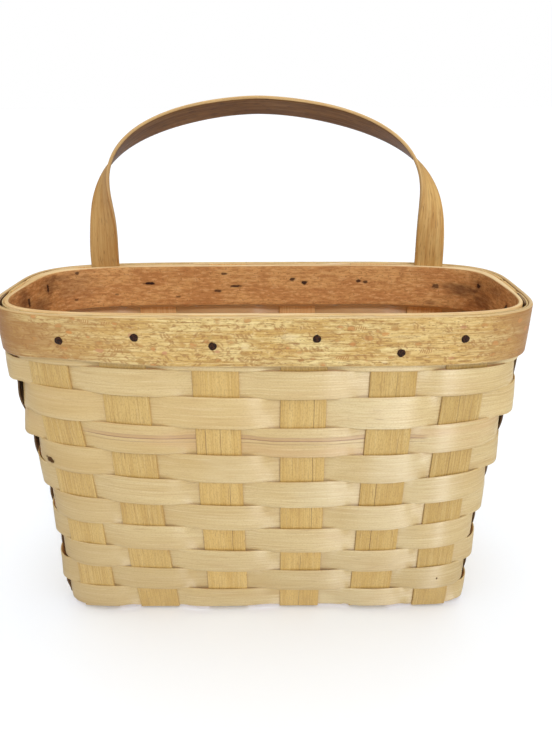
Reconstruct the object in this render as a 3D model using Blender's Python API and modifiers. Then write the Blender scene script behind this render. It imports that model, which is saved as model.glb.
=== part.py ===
# Wooden mail basket: a narrow oblong basket woven from flat wood splints,
# with a two-band wooden rim and one bent wood handle standing on its back
# wall.  Units are metres, +Z is up, +Y points to the back of the basket.
#
# How it is put together, as on the bench:
#   6 cross stakes      U-shaped strips: front wall, base, back wall
#   3 lengthwise stakes U-shaped strips: left wall, base, right wall
#   10 weavers + 1 rim weaver   closed hoops woven over and under the stakes
#   2 rim bands         one outside and one inside the top of the wall
#   1 handle            flat strip, legs clamped between the back wall and
#                       the inner band, each leg twisting into the arch
#   18 tacks            one through the rim at every stake end

import bpy
import bmesh
import math
from mathutils import Vector

MM = 0.001

# ---- driving dimensions, in millimetres --------------------------------
RIM_HEIGHT = 262.5        # top of the rim above the base's lowest face
RIM_HALF_W = 190.3        # rim, outside, half of its length along X
BASE_HALF_W = 169.1       # wall centre at the base, half of its length
RIM_HALF_D = 73.3         # rim, outside, half of its depth along Y
BAND_HEIGHT = 35.0
BAND_T = 2.6
STAKE_T = 1.2
STAKE_W = 31.8            # cross stakes
END_STAKE_W = 31.0        # the two outermost cross stakes
SIDE_STAKE_W = 24.0       # lengthwise stakes
SIDE_STAKE_PITCH = 30.0
WEAVER_T = 1.0
GAP = 0.3                 # clearance kept between touching pieces
EDGE = 0.2                # a weaver bends this far past a stake's edge
WEAVE = STAKE_T / 2 + WEAVER_T / 2 + GAP      # over / under offset
WALL_HALF = WEAVE + WEAVER_T / 2              # weave, half thickness
RIM_OFF = WALL_HALF + GAP + BAND_T            # wall centre to rim outside

ROW_EDGES = [38.7, 60.9, 83.0, 105.2, 127.4, 149.6, 171.8, 194.0, 216.1,
             238.1, 258.0]                    # below the rim's top
STAKE_TOP = 1.5
RIM_WEAVER = (1.2, 38.4)
BASE_Z = STAKE_T / 2 + STAKE_T + GAP          # lengthwise stakes' centre
WALL_END = ROW_EDGES[-1]

# cross stakes: centre at the rim, centre at the base
CROSS_X = [(-148.8, -137.1), (-95.1, -90.3), (-32.1, -31.7),
           (27.6, 27.1), (90.3, 85.1), (142.0, 135.0)]

# tacks: place along the wall and depth below the rim's top
TACK_HEAD_R, TACK_HEAD_T, TACK_SHANK = 2.8, 0.9, 0.7
TACKS_FRONT = [(-133.6, 17.6), (-83.3, 14.0), (-32.4, 19.9),
               (35.9, 14.6), (91.7, 24.8), (133.2, 15.9)]
TACKS_BACK = [(-135.3, 18.5), (-89.3, 15.5), (-35.3, 20.5),
              (28.7, 16.0), (86.7, 21.0), (137.2, 17.5)]
TACKS_SIDE = [(-31.0, 18.0), (1.5, 15.0), (29.0, 20.0)]

# handle
HANDLE_W, HANDLE_T = 23.2, 2.8
HANDLE_TOP = 124.1        # top of the arch above the rim
HANDLE_HALF_SPAN = 134.1  # leg centre to the middle of the arch
HANDLE_X = 2.7            # the legs stand a little right of the middle
HANDLE_SWAY = -7.2        # the arch leans back to the left by this much
HANDLE_BACK = 18.0        # and backwards by this much
HANDLE_CURVE = (1.71, 4.61)   # superellipse powers, sideways and upwards
HANDLE_TILT = math.radians(31.4)  # roll of the strip at the top
HANDLE_KICK = {-1: -2.8, 1: 0.8}  # each foot bends this far to its side
TWIST_FROM, TWIST_TO, TWIST_POWER = 119.4, -0.2, 0.86
LEG_FOOT = 33.0           # leg's lower end below the rim's top
LEG_OFF = WALL_HALF + GAP + 0.9 + HANDLE_T / 2
INNER_FRONT = WALL_HALF + GAP                 # inner band, outer face
INNER_BACK = LEG_OFF + HANDLE_T / 2 + GAP + 0.2


# ---- shape of the wall -------------------------------------------------
def belly(d):
    """Depth of the front wall's centre behind the rim's outside."""
    s = min(max(d - 38.0, 0.0), 177.0) / 177.0
    t = max(0.0, (d - 170.0) / 92.0)
    return RIM_OFF - 2.8 * math.sin(math.pi * s) + 9.8 * t ** 2.2


def waist(d):
    """1 at the rim, falling smoothly to 0 at the base."""
    return math.exp(-(max(0.0, d - 20.0) / 100.5) ** 2.37)


def half_width(d):
    top = RIM_HALF_W - RIM_OFF
    return BASE_HALF_W + (top - BASE_HALF_W) * waist(d)


def half_depth(d):
    return RIM_HALF_D - belly(d)


def corner_power(d, back):
    """Plan of the wall is a superellipse, squarer towards the base."""
    top = 4.2 if back else 4.9
    t = max(0.0, min(d, WALL_END) - 38.0) / (WALL_END - 38.0)
    return top + (11.0 - top) * t ** 1.9


def by_x(x, d, back):
    a, c, n = half_width(d), half_depth(d), corner_power(d, back)
    xi = min(abs(x) / a, 0.9999)
    return x, (1 if back else -1) * c * (1 - xi ** n) ** (1 / n)


def by_y(y, d, right):
    back = y > 0
    a, c, n = half_width(d), half_depth(d), corner_power(d, back)
    eta = min(abs(y) / c, 0.9999)
    return (1 if right else -1) * a * (1 - eta ** n) ** (1 / n), y


def plan_normal(x, y, d):
    a, c, n = half_width(d), half_depth(d), corner_power(d, y > 0)
    v = Vector((math.copysign((abs(x) / a) ** (n - 1) / a, x),
                math.copysign((abs(y) / c) ** (n - 1) / c, y)))
    return v.normalized()


def corner_point(p, q, d, f):
    """Point on the plan between p and q, f of the way round the corner."""
    back = (p[1] + q[1]) > 0
    a, c, n = half_width(d), half_depth(d), corner_power(d, back)

    def angle(v):
        return math.atan2((abs(v[1]) / c) ** (n / 2),
                          (abs(v[0]) / a) ** (n / 2))
    t = angle(p) + (angle(q) - angle(p)) * f
    sx = 1 if p[0] + q[0] > 0 else -1
    sy = 1 if back else -1
    return sx * a * math.cos(t) ** (2 / n), sy * c * math.sin(t) ** (2 / n)


# ---- stakes around the wall, anticlockwise from the front left ---------
def cross_centre(k, d):
    top, low = CROSS_X[k]
    return low + (top - low) * waist(d)


def cross_width(k):
    return END_STAKE_W if k in (0, 5) else STAKE_W


AROUND = ([("front", k) for k in range(6)]
          + [("right", m) for m in range(3)]
          + [("back", k) for k in reversed(range(6))]
          + [("left", m) for m in reversed(range(3))])


def stake_point(wall, k, d, across):
    """across runs along the wall, in mm from the stake's centre line,
    positive in the anticlockwise direction."""
    if wall == "front":
        return by_x(cross_centre(k, d) + across, d, False)
    if wall == "back":
        return by_x(cross_centre(k, d) - across, d, True)
    y = (k - 1) * SIDE_STAKE_PITCH
    if wall == "right":
        return by_y(y + across, d, True)
    return by_y(y - across, d, False)


def stations(d):
    """Plan points all round at depth d: the two or three points of each
    stake, and three more round every corner.  Each comes with the index
    of its stake and how far it is on the way to the next stake."""
    out = []
    for i, (wall, k) in enumerate(AROUND):
        side = wall in ("left", "right")
        half = (SIDE_STAKE_W if side else cross_width(k)) / 2 + EDGE
        three = side or k in (0, 5)
        steps = (-half, 0.0, half) if three else (-half, half)
        for s in steps:
            out.append((stake_point(wall, k, d, s), i, 0.0))
        nxt_wall, nxt = AROUND[(i + 1) % len(AROUND)]
        if nxt_wall != wall:
            nside = nxt_wall in ("left", "right")
            nhalf = (SIDE_STAKE_W if nside else cross_width(nxt)) / 2 + EDGE
            p = out[-1][0]
            q = stake_point(nxt_wall, nxt, d, -nhalf)
            for f in (0.25, 0.5, 0.75):
                out.append((corner_point(p, q, d, f), i, f))
    return out


def wall_point(p, d, off):
    n = plan_normal(p[0], p[1], d)
    return Vector((p[0] + n.x * off, p[1] + n.y * off, RIM_HEIGHT - d))


# ---- making objects ----------------------------------------------------
for o in list(bpy.data.objects):
    bpy.data.objects.remove(o, do_unlink=True)


def new_collection(name):
    c = bpy.data.collections.new(name)
    bpy.context.scene.collection.children.link(c)
    return c


BASKET = new_collection("mail_basket")
CUTTERS = new_collection("cutters")


def material(name, colour, rough, metal=0.0):
    m = bpy.data.materials.new(name)
    m.use_nodes = True
    b = m.node_tree.nodes["Principled BSDF"]
    b.inputs["Base Color"].default_value = (*colour, 1.0)
    b.inputs["Roughness"].default_value = rough
    b.inputs["Metallic"].default_value = metal
    return m


MAT_WEAVER = material("weaver_splint", (0.66, 0.48, 0.25), 0.55)
MAT_STAKE = material("stake_splint", (0.58, 0.37, 0.15), 0.55)
MAT_RIM = material("rim_wood", (0.62, 0.42, 0.17), 0.5)
MAT_INNER = material("inner_rim_wood", (0.47, 0.25, 0.10), 0.5)
MAT_HANDLE = material("handle_wood", (0.50, 0.30, 0.12), 0.5)
MAT_TACK = material("tack_metal", (0.03, 0.025, 0.025), 0.45, 0.8)


def add_object(name, bm, mat, collection=BASKET):
    me = bpy.data.meshes.new(name)
    bm.to_mesh(me)
    bm.free()
    ob = bpy.data.objects.new(name, me)
    collection.objects.link(ob)
    if mat:
        me.materials.append(mat)
    return ob


def sheet(name, rows, mat, thickness, closed):
    """An open surface through rows of points (each row one list along the
    strip), thickened evenly on both sides.  The wall is slightly twisted
    between its stations, so each cell is split the same way in weavers
    and stakes, from its upper earlier corner to its lower later one."""
    bm = bmesh.new()
    grid = [[bm.verts.new(p * MM) for p in row] for row in rows]
    n = len(grid[0])
    for a, b in zip(grid[:-1], grid[1:]):
        for j in range(n if closed else n - 1):
            k = (j + 1) % n
            bm.faces.new((a[j], b[j], b[k]))
            bm.faces.new((a[j], b[k], a[k]))
    ob = add_object(name, bm, mat)
    sol = ob.modifiers.new("thickness", "SOLIDIFY")
    sol.thickness = thickness * MM
    sol.offset = 0.0
    sol.use_even_offset = True
    return ob


def hoop(name, d_top, d_low, offset, mat, thickness):
    """Closed ring round the wall between two depths; offset(i, f, p) is
    its distance outside the wall's centre."""
    rows = []
    for d in (d_top, d_low):
        rows.append([wall_point(p, d, offset(i, f, p))
                     for p, i, f in stations(d)])
    return sheet(name, rows, mat, thickness, True)


# ---- weavers -----------------------------------------------------------
def weave_offset(row):
    def side_of(i):
        return WEAVE if (i + row) % 2 == 0 else -WEAVE

    def offset(i, f, p):
        a, b = side_of(i), side_of(i + 1)
        return a + (b - a) * f
    return offset


rim_weaver = hoop("rim_weaver", *RIM_WEAVER, weave_offset(0), MAT_WEAVER,
                  WEAVER_T)
for r in range(1, 11):
    hoop("weaver_row_%02d" % r, ROW_EDGES[r - 1] + GAP / 2,
         ROW_EDGES[r] - GAP / 2, weave_offset(r), MAT_WEAVER, WEAVER_T)


# ---- stakes ------------------------------------------------------------
def fold(p, z_from, n, z_to, steps=3):
    """Rounded fold from the foot of the wall to the base; n points out."""
    r = z_from - z_to
    pts = []
    for i in range(1, steps + 1):
        a = math.radians(90.0 * i / steps)
        inward = r * (1 - math.cos(a)) * 1.25
        pts.append(Vector((p.x - n[0] * inward, p.y - n[1] * inward,
                           z_from - r * math.sin(a))))
    return pts


WALL_DEPTHS = [STAKE_TOP] + ROW_EDGES


def cross_stake(k):
    half = cross_width(k) / 2
    lap = STAKE_T + GAP
    columns = []
    for side in ((-1, 0, 1) if k in (0, 5) else (-1, 1)):
        front = [wall_point(stake_point("front", k, d, side * half), d, 0)
                 for d in WALL_DEPTHS]
        back = [wall_point(stake_point("back", k, d, -side * half), d, 0)
                for d in WALL_DEPTHS]
        x = front[-1].x
        col = list(front)
        col += fold(front[-1], front[-1].z, (0, -1), BASE_Z)
        for m in range(3):
            y = (m - 1) * SIDE_STAKE_PITCH
            z = BASE_Z + (lap if (k + m) % 2 == 0 else -lap)
            for e in (-1, 1):
                col.append(Vector((x, y + e * (SIDE_STAKE_W / 2 + 0.7), z)))
        col += reversed(fold(back[-1], back[-1].z, (0, 1), BASE_Z))
        col += reversed(back)
        columns.append(col)
    return sheet("cross_stake_%d" % (k + 1), columns, MAT_STAKE, STAKE_T,
                 False)


def lengthwise_stake(m):
    half = SIDE_STAKE_W / 2
    y = (m - 1) * SIDE_STAKE_PITCH
    columns = []
    for s in (half, 0.0, -half):
        left = [wall_point(by_y(y + s, d, False), d, 0) for d in WALL_DEPTHS]
        right = [wall_point(by_y(y + s, d, True), d, 0) for d in WALL_DEPTHS]
        col = list(left) + fold(left[-1], left[-1].z, (-1, 0), BASE_Z)
        col += reversed(fold(right[-1], right[-1].z, (1, 0), BASE_Z))
        col += reversed(right)
        columns.append(col)
    return sheet("lengthwise_stake_%d" % (m + 1), columns, MAT_STAKE,
                 STAKE_T, False)


cross = [cross_stake(k) for k in range(6)]
lengthwise = [lengthwise_stake(m) for m in range(3)]


# ---- rim bands ---------------------------------------------------------
def smooth(t):
    t = min(max(t, 0.0), 1.0)
    return t * t * (3 - 2 * t)


def outer_offset(i, f, p):
    return WALL_HALF + GAP + BAND_T / 2


def inner_offset(i, f, p):
    return -(INNER_FRONT + BAND_T / 2
             + (INNER_BACK - INNER_FRONT) * smooth((p[1] + 20.0) / 65.0))


outer_band = hoop("rim_outer_band", 0.0, BAND_HEIGHT, outer_offset, MAT_RIM,
                  BAND_T)
inner_band = hoop("rim_inner_band", 0.0, BAND_HEIGHT, inner_offset,
                  MAT_INNER, BAND_T)


# ---- handle ------------------------------------------------------------
def handle_foot(side):
    """Leg's centre at the rim and the wall's outward normal there."""
    x = HANDLE_X + side * HANDLE_HALF_SPAN + HANDLE_KICK[side]
    px = x
    for _ in range(4):
        p = by_x(px, 0.0, True)
        n = plan_normal(p[0], p[1], 0.0)
        px = x + n.x * LEG_OFF
    return Vector((x, p[1] - n.y * LEG_OFF)), n


def handle_side(side, count=30):
    """Centre line, width direction and face normal of half of the handle,
    from the top of the arch down to the foot of one leg."""
    foot, wall_n = handle_foot(side)
    middle = (foot.y + handle_foot(-side)[0].y) / 2
    px, pz = HANDLE_CURVE
    raw = []
    for i in range(401):
        a = math.pi / 2 * i / 400
        raw.append((HANDLE_HALF_SPAN * math.sin(a) ** (2 / px),
                    HANDLE_TOP * math.cos(a) ** (2 / pz)))
    raw += [(HANDLE_HALF_SPAN, -LEG_FOOT * i / 40) for i in range(1, 41)]
    run = [0.0]
    for a, b in zip(raw[:-1], raw[1:]):
        run.append(run[-1] + math.hypot(b[0] - a[0], b[1] - a[1]))

    def at(s):
        lo = 0
        hi = len(run) - 1
        while hi - lo > 1:
            mid = (lo + hi) // 2
            if run[mid] <= s:
                lo = mid
            else:
                hi = mid
        t = (s - run[lo]) / (run[hi] - run[lo])
        x = raw[lo][0] + (raw[hi][0] - raw[lo][0]) * t
        z = raw[lo][1] + (raw[hi][1] - raw[lo][1]) * t
        lift = min(max((z - 30.0) / (HANDLE_TOP - 30.0), 0.0), 1.0)
        sway = min(max((z + 34.0) / (HANDLE_TOP + 34.0), 0.0), 1.0)
        return Vector((side * x + HANDLE_X
                       + HANDLE_KICK[side] * smooth((45.0 - z) / 45.0)
                       + HANDLE_SWAY * (sway ** 3 if z > 0 else 0.0),
                       foot.y + (middle - foot.y) * smooth(lift)
                       + HANDLE_BACK * lift ** 2, z))

    out = []
    for i in range(count + 1):
        s = run[-1] * i / count
        c = at(s)
        if i == 0:
            t = Vector((side, 0, 0))
        elif c.z < 1.0:
            t = Vector((0, 0, -1))
        else:
            t = (at(min(s + 0.8, run[-1])) - at(s - 0.8)).normalized()
        outward = Vector((-t.z * side, 0, t.x * side)).normalized()
        w = (t * side).cross(outward).normalized()
        outward = w.cross(t * side)
        u = min(max((TWIST_FROM - c.z) / (TWIST_FROM - TWIST_TO), 0.0), 1.0)
        u = smooth(u ** TWIST_POWER)
        end = math.pi / 2 + math.asin(abs(wall_n.x))
        psi = -HANDLE_TILT + (end + HANDLE_TILT) * u
        face = outward * math.cos(psi) + w * math.sin(psi)
        across = (t * side).cross(face)
        out.append((c + Vector((0, 0, RIM_HEIGHT)), across, face))
    return out


def make_handle():
    left, right = handle_side(-1), handle_side(1)
    line = list(reversed(left)) + right[1:]
    rows = []
    for s in (-0.5, 0.5):
        rows.append([c + across * (s * HANDLE_W) for c, across, face in line])
    return sheet("handle", rows, MAT_HANDLE, HANDLE_T, False)


handle = make_handle()


# ---- tacks and their holes ---------------------------------------------
def ring(bm, radius, z, square, count=8):
    out = []
    for i in range(count):
        a = 2 * math.pi * i / count
        r = radius
        if square:
            r = radius / max(abs(math.cos(a)), abs(math.sin(a)))
        out.append(bm.verts.new((r * math.cos(a) * MM, r * math.sin(a) * MM,
                                 z * MM)))
    return out


def tack_mesh(length):
    """Cut tack along +Z: low domed head on top, tapered square shank."""
    bm = bmesh.new()
    rings = [ring(bm, 1.7, TACK_HEAD_T, False),
             ring(bm, TACK_HEAD_R, 0.4, False),
             ring(bm, TACK_HEAD_R, 0.0, False),
             ring(bm, TACK_SHANK, 0.0, True),
             ring(bm, TACK_SHANK * 0.8, -length + 2.2, True),
             ring(bm, 0.12, -length, True)]
    for a, b in zip(rings[:-1], rings[1:]):
        for i in range(8):
            j = (i + 1) % 8
            bm.faces.new((a[i], b[i], b[j], a[j]))
    bm.faces.new(rings[0])
    bm.faces.new(list(reversed(rings[-1])))
    bmesh.ops.recalc_face_normals(bm, faces=bm.faces)
    return bm


holes = bmesh.new()


def tack(name, p, d, shank):
    """Tack at plan point p of the wall, driven straight in."""
    n = plan_normal(p[0], p[1], d)
    out = Vector((n.x, n.y, 0.0))
    rot = out.to_track_quat("Z", "Y")
    seat = wall_point(p, d, RIM_OFF + GAP)
    ob = add_object(name, tack_mesh(shank), MAT_TACK)
    ob.rotation_mode = "QUATERNION"
    ob.rotation_quaternion = rot
    ob.location = seat * MM
    cut = bmesh.ops.create_cube(holes, size=1.0)["verts"]
    side = 2 * (TACK_SHANK + GAP)
    mid = seat - out * (shank / 2)
    for v in cut:
        local = Vector((v.co.x * side, v.co.y * side, v.co.z * (shank + 6)))
        v.co = (mid + rot @ local) * MM
    return ob


FRONT_SHANK = 2 * RIM_OFF - 0.4
BACK_SHANK = RIM_OFF + INNER_BACK + BAND_T - 0.4
for i, (x, d) in enumerate(TACKS_FRONT):
    tack("tack_front_%d" % (i + 1), by_x(x, d, False), d, FRONT_SHANK)
for i, (x, d) in enumerate(TACKS_BACK):
    tack("tack_back_%d" % (i + 1), by_x(x, d, True), d, BACK_SHANK)
for i, (y, d) in enumerate(TACKS_SIDE):
    tack("tack_right_%d" % (i + 1), by_y(y, d, True), d, FRONT_SHANK)
    tack("tack_left_%d" % (i + 1), by_y(-y, d, False), d, FRONT_SHANK)

cutter = add_object("tack_holes", holes, None, CUTTERS)
cutter.hide_render = True
cutter.display_type = "WIRE"
for ob in [rim_weaver, outer_band, inner_band, handle] + cross + lengthwise:
    cut = ob.modifiers.new("tack holes", "BOOLEAN")
    cut.operation = "DIFFERENCE"
    cut.object = cutter

# ---- put the origin under the middle of the whole basket ---------------
bpy.context.view_layer.update()
graph = bpy.context.evaluated_depsgraph_get()
low = Vector((1e9, 1e9, 1e9))
high = -low
for ob in BASKET.objects:
    ev = ob.evaluated_get(graph)
    me = ev.to_mesh()
    for v in me.vertices:
        w = ev.matrix_world @ v.co
        for a in range(3):
            low[a] = min(low[a], w[a])
            high[a] = max(high[a], w[a])
    ev.to_mesh_clear()
shift = Vector(((low.x + high.x) / 2, (low.y + high.y) / 2, low.z))
for ob in list(BASKET.objects) + list(CUTTERS.objects):
    ob.location = ob.location - shift
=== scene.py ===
import math

import bpy
import numpy as np
from mathutils import Matrix, Vector


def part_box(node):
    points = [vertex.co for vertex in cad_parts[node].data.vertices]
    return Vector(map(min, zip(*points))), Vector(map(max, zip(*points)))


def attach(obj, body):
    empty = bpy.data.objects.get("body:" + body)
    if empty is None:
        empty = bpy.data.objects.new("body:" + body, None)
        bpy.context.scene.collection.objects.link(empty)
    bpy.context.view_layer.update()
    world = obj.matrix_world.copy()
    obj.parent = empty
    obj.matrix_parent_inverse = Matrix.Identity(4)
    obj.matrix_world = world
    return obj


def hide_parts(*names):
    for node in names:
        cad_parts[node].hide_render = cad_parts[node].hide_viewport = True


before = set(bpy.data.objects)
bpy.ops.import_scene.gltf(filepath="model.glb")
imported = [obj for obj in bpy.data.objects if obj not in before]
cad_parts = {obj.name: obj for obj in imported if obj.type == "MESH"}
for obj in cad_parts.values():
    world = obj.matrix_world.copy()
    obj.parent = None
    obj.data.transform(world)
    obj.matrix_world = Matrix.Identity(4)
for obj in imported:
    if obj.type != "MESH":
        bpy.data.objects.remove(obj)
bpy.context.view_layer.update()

MM = 0.001
rng = np.random.RandomState(41)

# ---- the basket's own dimensions (as in the frame) ----------------------
lo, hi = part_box("rim_outer_band")
PLAN_Y = (lo.y + hi.y) / 2 / MM          # middle of the rim in the frame
RIM_HEIGHT = hi.z / MM
RIM_HALF_W, RIM_HALF_D, BASE_HALF_W = 190.3, 73.3, 169.1
BAND_HEIGHT, BAND_T = 35.0, 2.6
STAKE_T, STAKE_W, END_STAKE_W = 1.2, 31.8, 31.0
SIDE_STAKE_W, SIDE_STAKE_PITCH = 24.0, 30.0
WEAVER_T = 1.0
WALL_HALF, GAP = 1.9, 0.3
RIM_OFF = WALL_HALF + GAP + BAND_T
ROW_EDGES = [38.7, 60.9, 83.0, 105.2, 127.4, 149.6, 171.8, 194.0, 216.1,
             238.1, 258.0]
WALL_END = ROW_EDGES[-1]
BASE_Z = STAKE_T / 2 + STAKE_T + GAP
CROSS_X = [(-148.8, -137.1), (-95.1, -90.3), (-32.1, -31.7),
           (27.6, 27.1), (90.3, 85.1), (142.0, 135.0)]
TACKS_FRONT = [(-133.6, 17.6), (-83.3, 14.0), (-32.4, 19.9),
               (35.9, 14.6), (91.7, 24.8), (133.2, 15.9)]
TACKS_BACK = [(-135.3, 18.5), (-89.3, 15.5), (-35.3, 20.5),
              (28.7, 16.0), (86.7, 21.0), (137.2, 17.5)]
TACKS_SIDE = [(-31.0, 18.0), (1.5, 15.0), (29.0, 20.0)]

HANDLE_W, HANDLE_T, HANDLE_TOP = 23.2, 2.8, 124.1
HANDLE_HALF_SPAN, HANDLE_X = 134.1, 2.7
HANDLE_SWAY, HANDLE_BACK, HANDLE_CURVE = -7.2, 18.0, (1.71, 4.61)
HANDLE_TILT = math.radians(31.4)
HANDLE_KICK = {-1: -2.8, 1: 0.8}         # each foot bends to its side
TWIST_FROM, TWIST_TO, TWIST_POWER = 119.4, -0.2, 0.86
LEG_FOOT = 33.0
LEG_OFF = WALL_HALF + GAP + 0.9 + HANDLE_T / 2
INNER_FRONT = WALL_HALF + GAP
INNER_BACK = LEG_OFF + HANDLE_T / 2 + GAP + 0.2
ASKEW = 0.005
# how far each cross stake wanders sideways, by depth
DRIFT_AT = (50, 94, 138, 183, 227, 250)
DRIFT = ((1.4, 2.0, 0.4, -0.1, -0.3, -0.2), (0.3, -0.2, -0.7, -0.5, 0.9, 1.7),
         (0.0, 0.2, 0.1, 0.6, 0.8, 0.5), (0.5, 0.2, 0.5, 0.6, 0.4, 0.1),
         (-1.1, -0.6, 0.3, 0.4, -0.2, -0.2),
         (-2.5, -2.4, -1.8, -1.1, 0.2, 1.4))


# ---- shape of the wall: plan outline at depth d below the rim's top -----
def smooth(t):
    t = np.clip(t, 0.0, 1.0)
    return t * t * (3 - 2 * t)


def belly(d):
    s = np.clip(d - 38.0, 0.0, 177.0) / 177.0
    t = np.maximum(0.0, (d - 170.0) / 92.0)
    return RIM_OFF - 2.8 * np.sin(math.pi * s) + 9.8 * t ** 2.2


def waist(d):
    return np.exp(-(np.maximum(0.0, d - 20.0) / 100.5) ** 2.37)


def half_width(d):
    return BASE_HALF_W + (RIM_HALF_W - RIM_OFF - BASE_HALF_W) * waist(d)


def half_depth(d):
    return RIM_HALF_D - belly(d)


def corner_power(d, back, right):
    """Squareness of the plan; the rim's four corners differ a little."""
    top = np.where(back, np.where(right, 4.0, 4.4),
                   np.where(right, 4.85, 4.3))
    t = np.maximum(0.0, np.minimum(d, WALL_END) - 38.0) / (WALL_END - 38.0)
    return top + (11.0 - top) * t ** 1.9


def by_x(x, d, back):
    a, c, n = half_width(d), half_depth(d), corner_power(d, back, x > 0)
    xi = np.minimum(np.abs(x) / a, 0.9999)
    return (1 if back else -1) * c * (1 - xi ** n) ** (1 / n)


def by_y(y, d, right):
    a, c, n = half_width(d), half_depth(d), corner_power(d, y > 0, right)
    eta = np.minimum(np.abs(y) / c, 0.9999)
    return (1 if right else -1) * a * (1 - eta ** n) ** (1 / n)


def plan_normal(x, y, d):
    a, c, n = half_width(d), half_depth(d), corner_power(d, y > 0, x > 0)
    nx = np.copysign((np.abs(x) / a) ** (n - 1) / a, x)
    ny = np.copysign((np.abs(y) / c) ** (n - 1) / c, y)
    m = np.hypot(nx, ny)
    return nx / m, ny / m


def askew(x, y, d):
    """The rim's front sits a little higher on the left than on the right."""
    front = smooth((40.0 - y) / 90.0)
    return -ASKEW * x * front * (1 - smooth((d - 18.0) / 42.0))


def height(x, y, d):
    return RIM_HEIGHT - d + askew(x, y, d)


def cross_centre(k, d):
    top, low = CROSS_X[k]
    return low + (top - low) * waist(d) + np.interp(d, DRIFT_AT, DRIFT[k])


def cross_width(k):
    return END_STAKE_W - 1.6 if k in (0, 5) else STAKE_W


AROUND = ([("front", k) for k in range(6)]
          + [("right", m) for m in range(3)]
          + [("back", k) for k in reversed(range(6))]
          + [("left", m) for m in reversed(range(3))])
STAKES = len(AROUND)


def outline(d, count=6000):
    """Dense plan outline at one depth, from the middle of the back,
    anticlockwise, and the distance along it of every stake's centre.  The
    distances start at front stake 1 and go once round."""
    th = np.linspace(0, 2 * math.pi, count, endpoint=False) + math.pi / 2
    s, c = np.sin(th), np.cos(th)
    n = corner_power(d, s > 0, c > 0)
    x = np.copysign(np.abs(c) ** (2 / n), c) * half_width(d)
    y = np.copysign(np.abs(s) ** (2 / n), s) * half_depth(d)
    run = np.concatenate([[0.0], np.cumsum(np.hypot(
        np.diff(np.append(x, x[0])), np.diff(np.append(y, y[0]))))])
    total = run[-1]
    run = run[:-1]
    at = []
    for wall, k in AROUND:
        if wall in ("front", "back"):
            want = (y < 0) if wall == "front" else (y > 0)
            miss = np.abs(x - cross_centre(k, d)) + np.where(want, 0, 1e3)
        else:
            want = (x > 0) if wall == "right" else (x < 0)
            miss = (np.abs(y - (k - 1) * SIDE_STAKE_PITCH)
                    + np.where(want & (np.abs(x) > 0.8 * half_width(d)),
                               0, 1e3))
        at.append(run[int(np.argmin(miss))])
    at = np.array(at)
    at = np.where(at < at[0] - 1e-6, at + total, at)
    return x, y, run, total, at


STEP_D = 2.0
DEPTHS = np.arange(0.0, 264.0, STEP_D)
PHI_STEPS = STAKES * 60
PX = np.zeros((len(DEPTHS), PHI_STEPS + 1))
PY = np.zeros_like(PX)
ROUND = np.zeros(len(DEPTHS))
for i, d in enumerate(DEPTHS):
    x, y, run, total, at = outline(d)
    phi = np.arange(PHI_STEPS + 1) / 60.0
    goal = np.interp(phi, np.arange(STAKES + 1), np.append(at, at[0] + total))
    goal = np.mod(goal, total)
    full = np.append(run, total)
    PX[i] = np.interp(goal, full, np.append(x, x[0]))
    PY[i] = np.interp(goal, full, np.append(y, y[0]))
    ROUND[i] = total


def plan(phi, d):
    """Plan point on the wall's middle at stake count phi and depth d."""
    phi = np.mod(phi, STAKES) * 60.0
    d = np.clip(d, 0.0, DEPTHS[-1] - 1e-6) / STEP_D
    i = np.minimum(phi.astype(int), PHI_STEPS - 1)
    j = d.astype(int)
    u, v = phi - i, d - j
    out = []
    for g in (PX, PY):
        out.append((g[j, i] * (1 - u) + g[j, i + 1] * u) * (1 - v)
                   + (g[j + 1, i] * (1 - u) + g[j + 1, i + 1] * u) * v)
    return out


def walk(d, step, start=11.0):
    """Stake counts phi at even distances round the wall at depth d, from
    the stake where the hoop's two ends meet."""
    turn = start + np.linspace(0, STAKES, 3000)
    x, y = plan(turn, np.full(3000, float(d)))
    run = np.concatenate([[0], np.cumsum(np.hypot(np.diff(x), np.diff(y)))])
    n = int(round(run[-1] / step))
    s = np.arange(n) * run[-1] / n
    return np.interp(s, run, turn), s, run[-1]


# ---- smooth random curves ------------------------------------------------
def wander(s, size, seed, period=None, octaves=2):
    """Smooth noise of about unit height over distances s, feature length
    size; with a period it closes on itself."""
    r = np.random.RandomState(seed)
    out = np.zeros_like(np.asarray(s, float))
    gain = 1.0
    for _ in range(octaves):
        if period:
            n = max(3, int(round(period / size)))
            v = r.uniform(-1, 1, n)
            v = np.append(v, v[0])
            q = np.mod(s, period) / period * n
        else:
            n = int(np.max(s) / size) + 3
            v = r.uniform(-1, 1, n + 1)
            q = np.clip(s / size, 0, n - 1e-6)
        i = np.minimum(q.astype(int), len(v) - 2)
        f = smooth(q - i)
        out += gain * (v[i] * (1 - f) + v[i + 1] * f)
        gain *= 0.5
        size *= 0.45
    return out


# ---- meshes --------------------------------------------------------------
def to_world(p):
    q = np.array(p, float)
    # the two end walls lean in a little towards the foot
    x, d = q[..., 0].copy(), RIM_HEIGHT - q[..., 2]
    q[..., 0] -= (2.2 * smooth((d - 120.0) / 115.0)
                  * smooth((x - 125.0) / 35.0))
    q[..., 0] += (2.0 * smooth((d - 90.0) / 115.0)
                  * (1 - 0.8 * smooth((d - 215.0) / 35.0))
                  * smooth((-x - 125.0) / 35.0))
    q[..., 1] += PLAN_Y
    return q * MM


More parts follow.
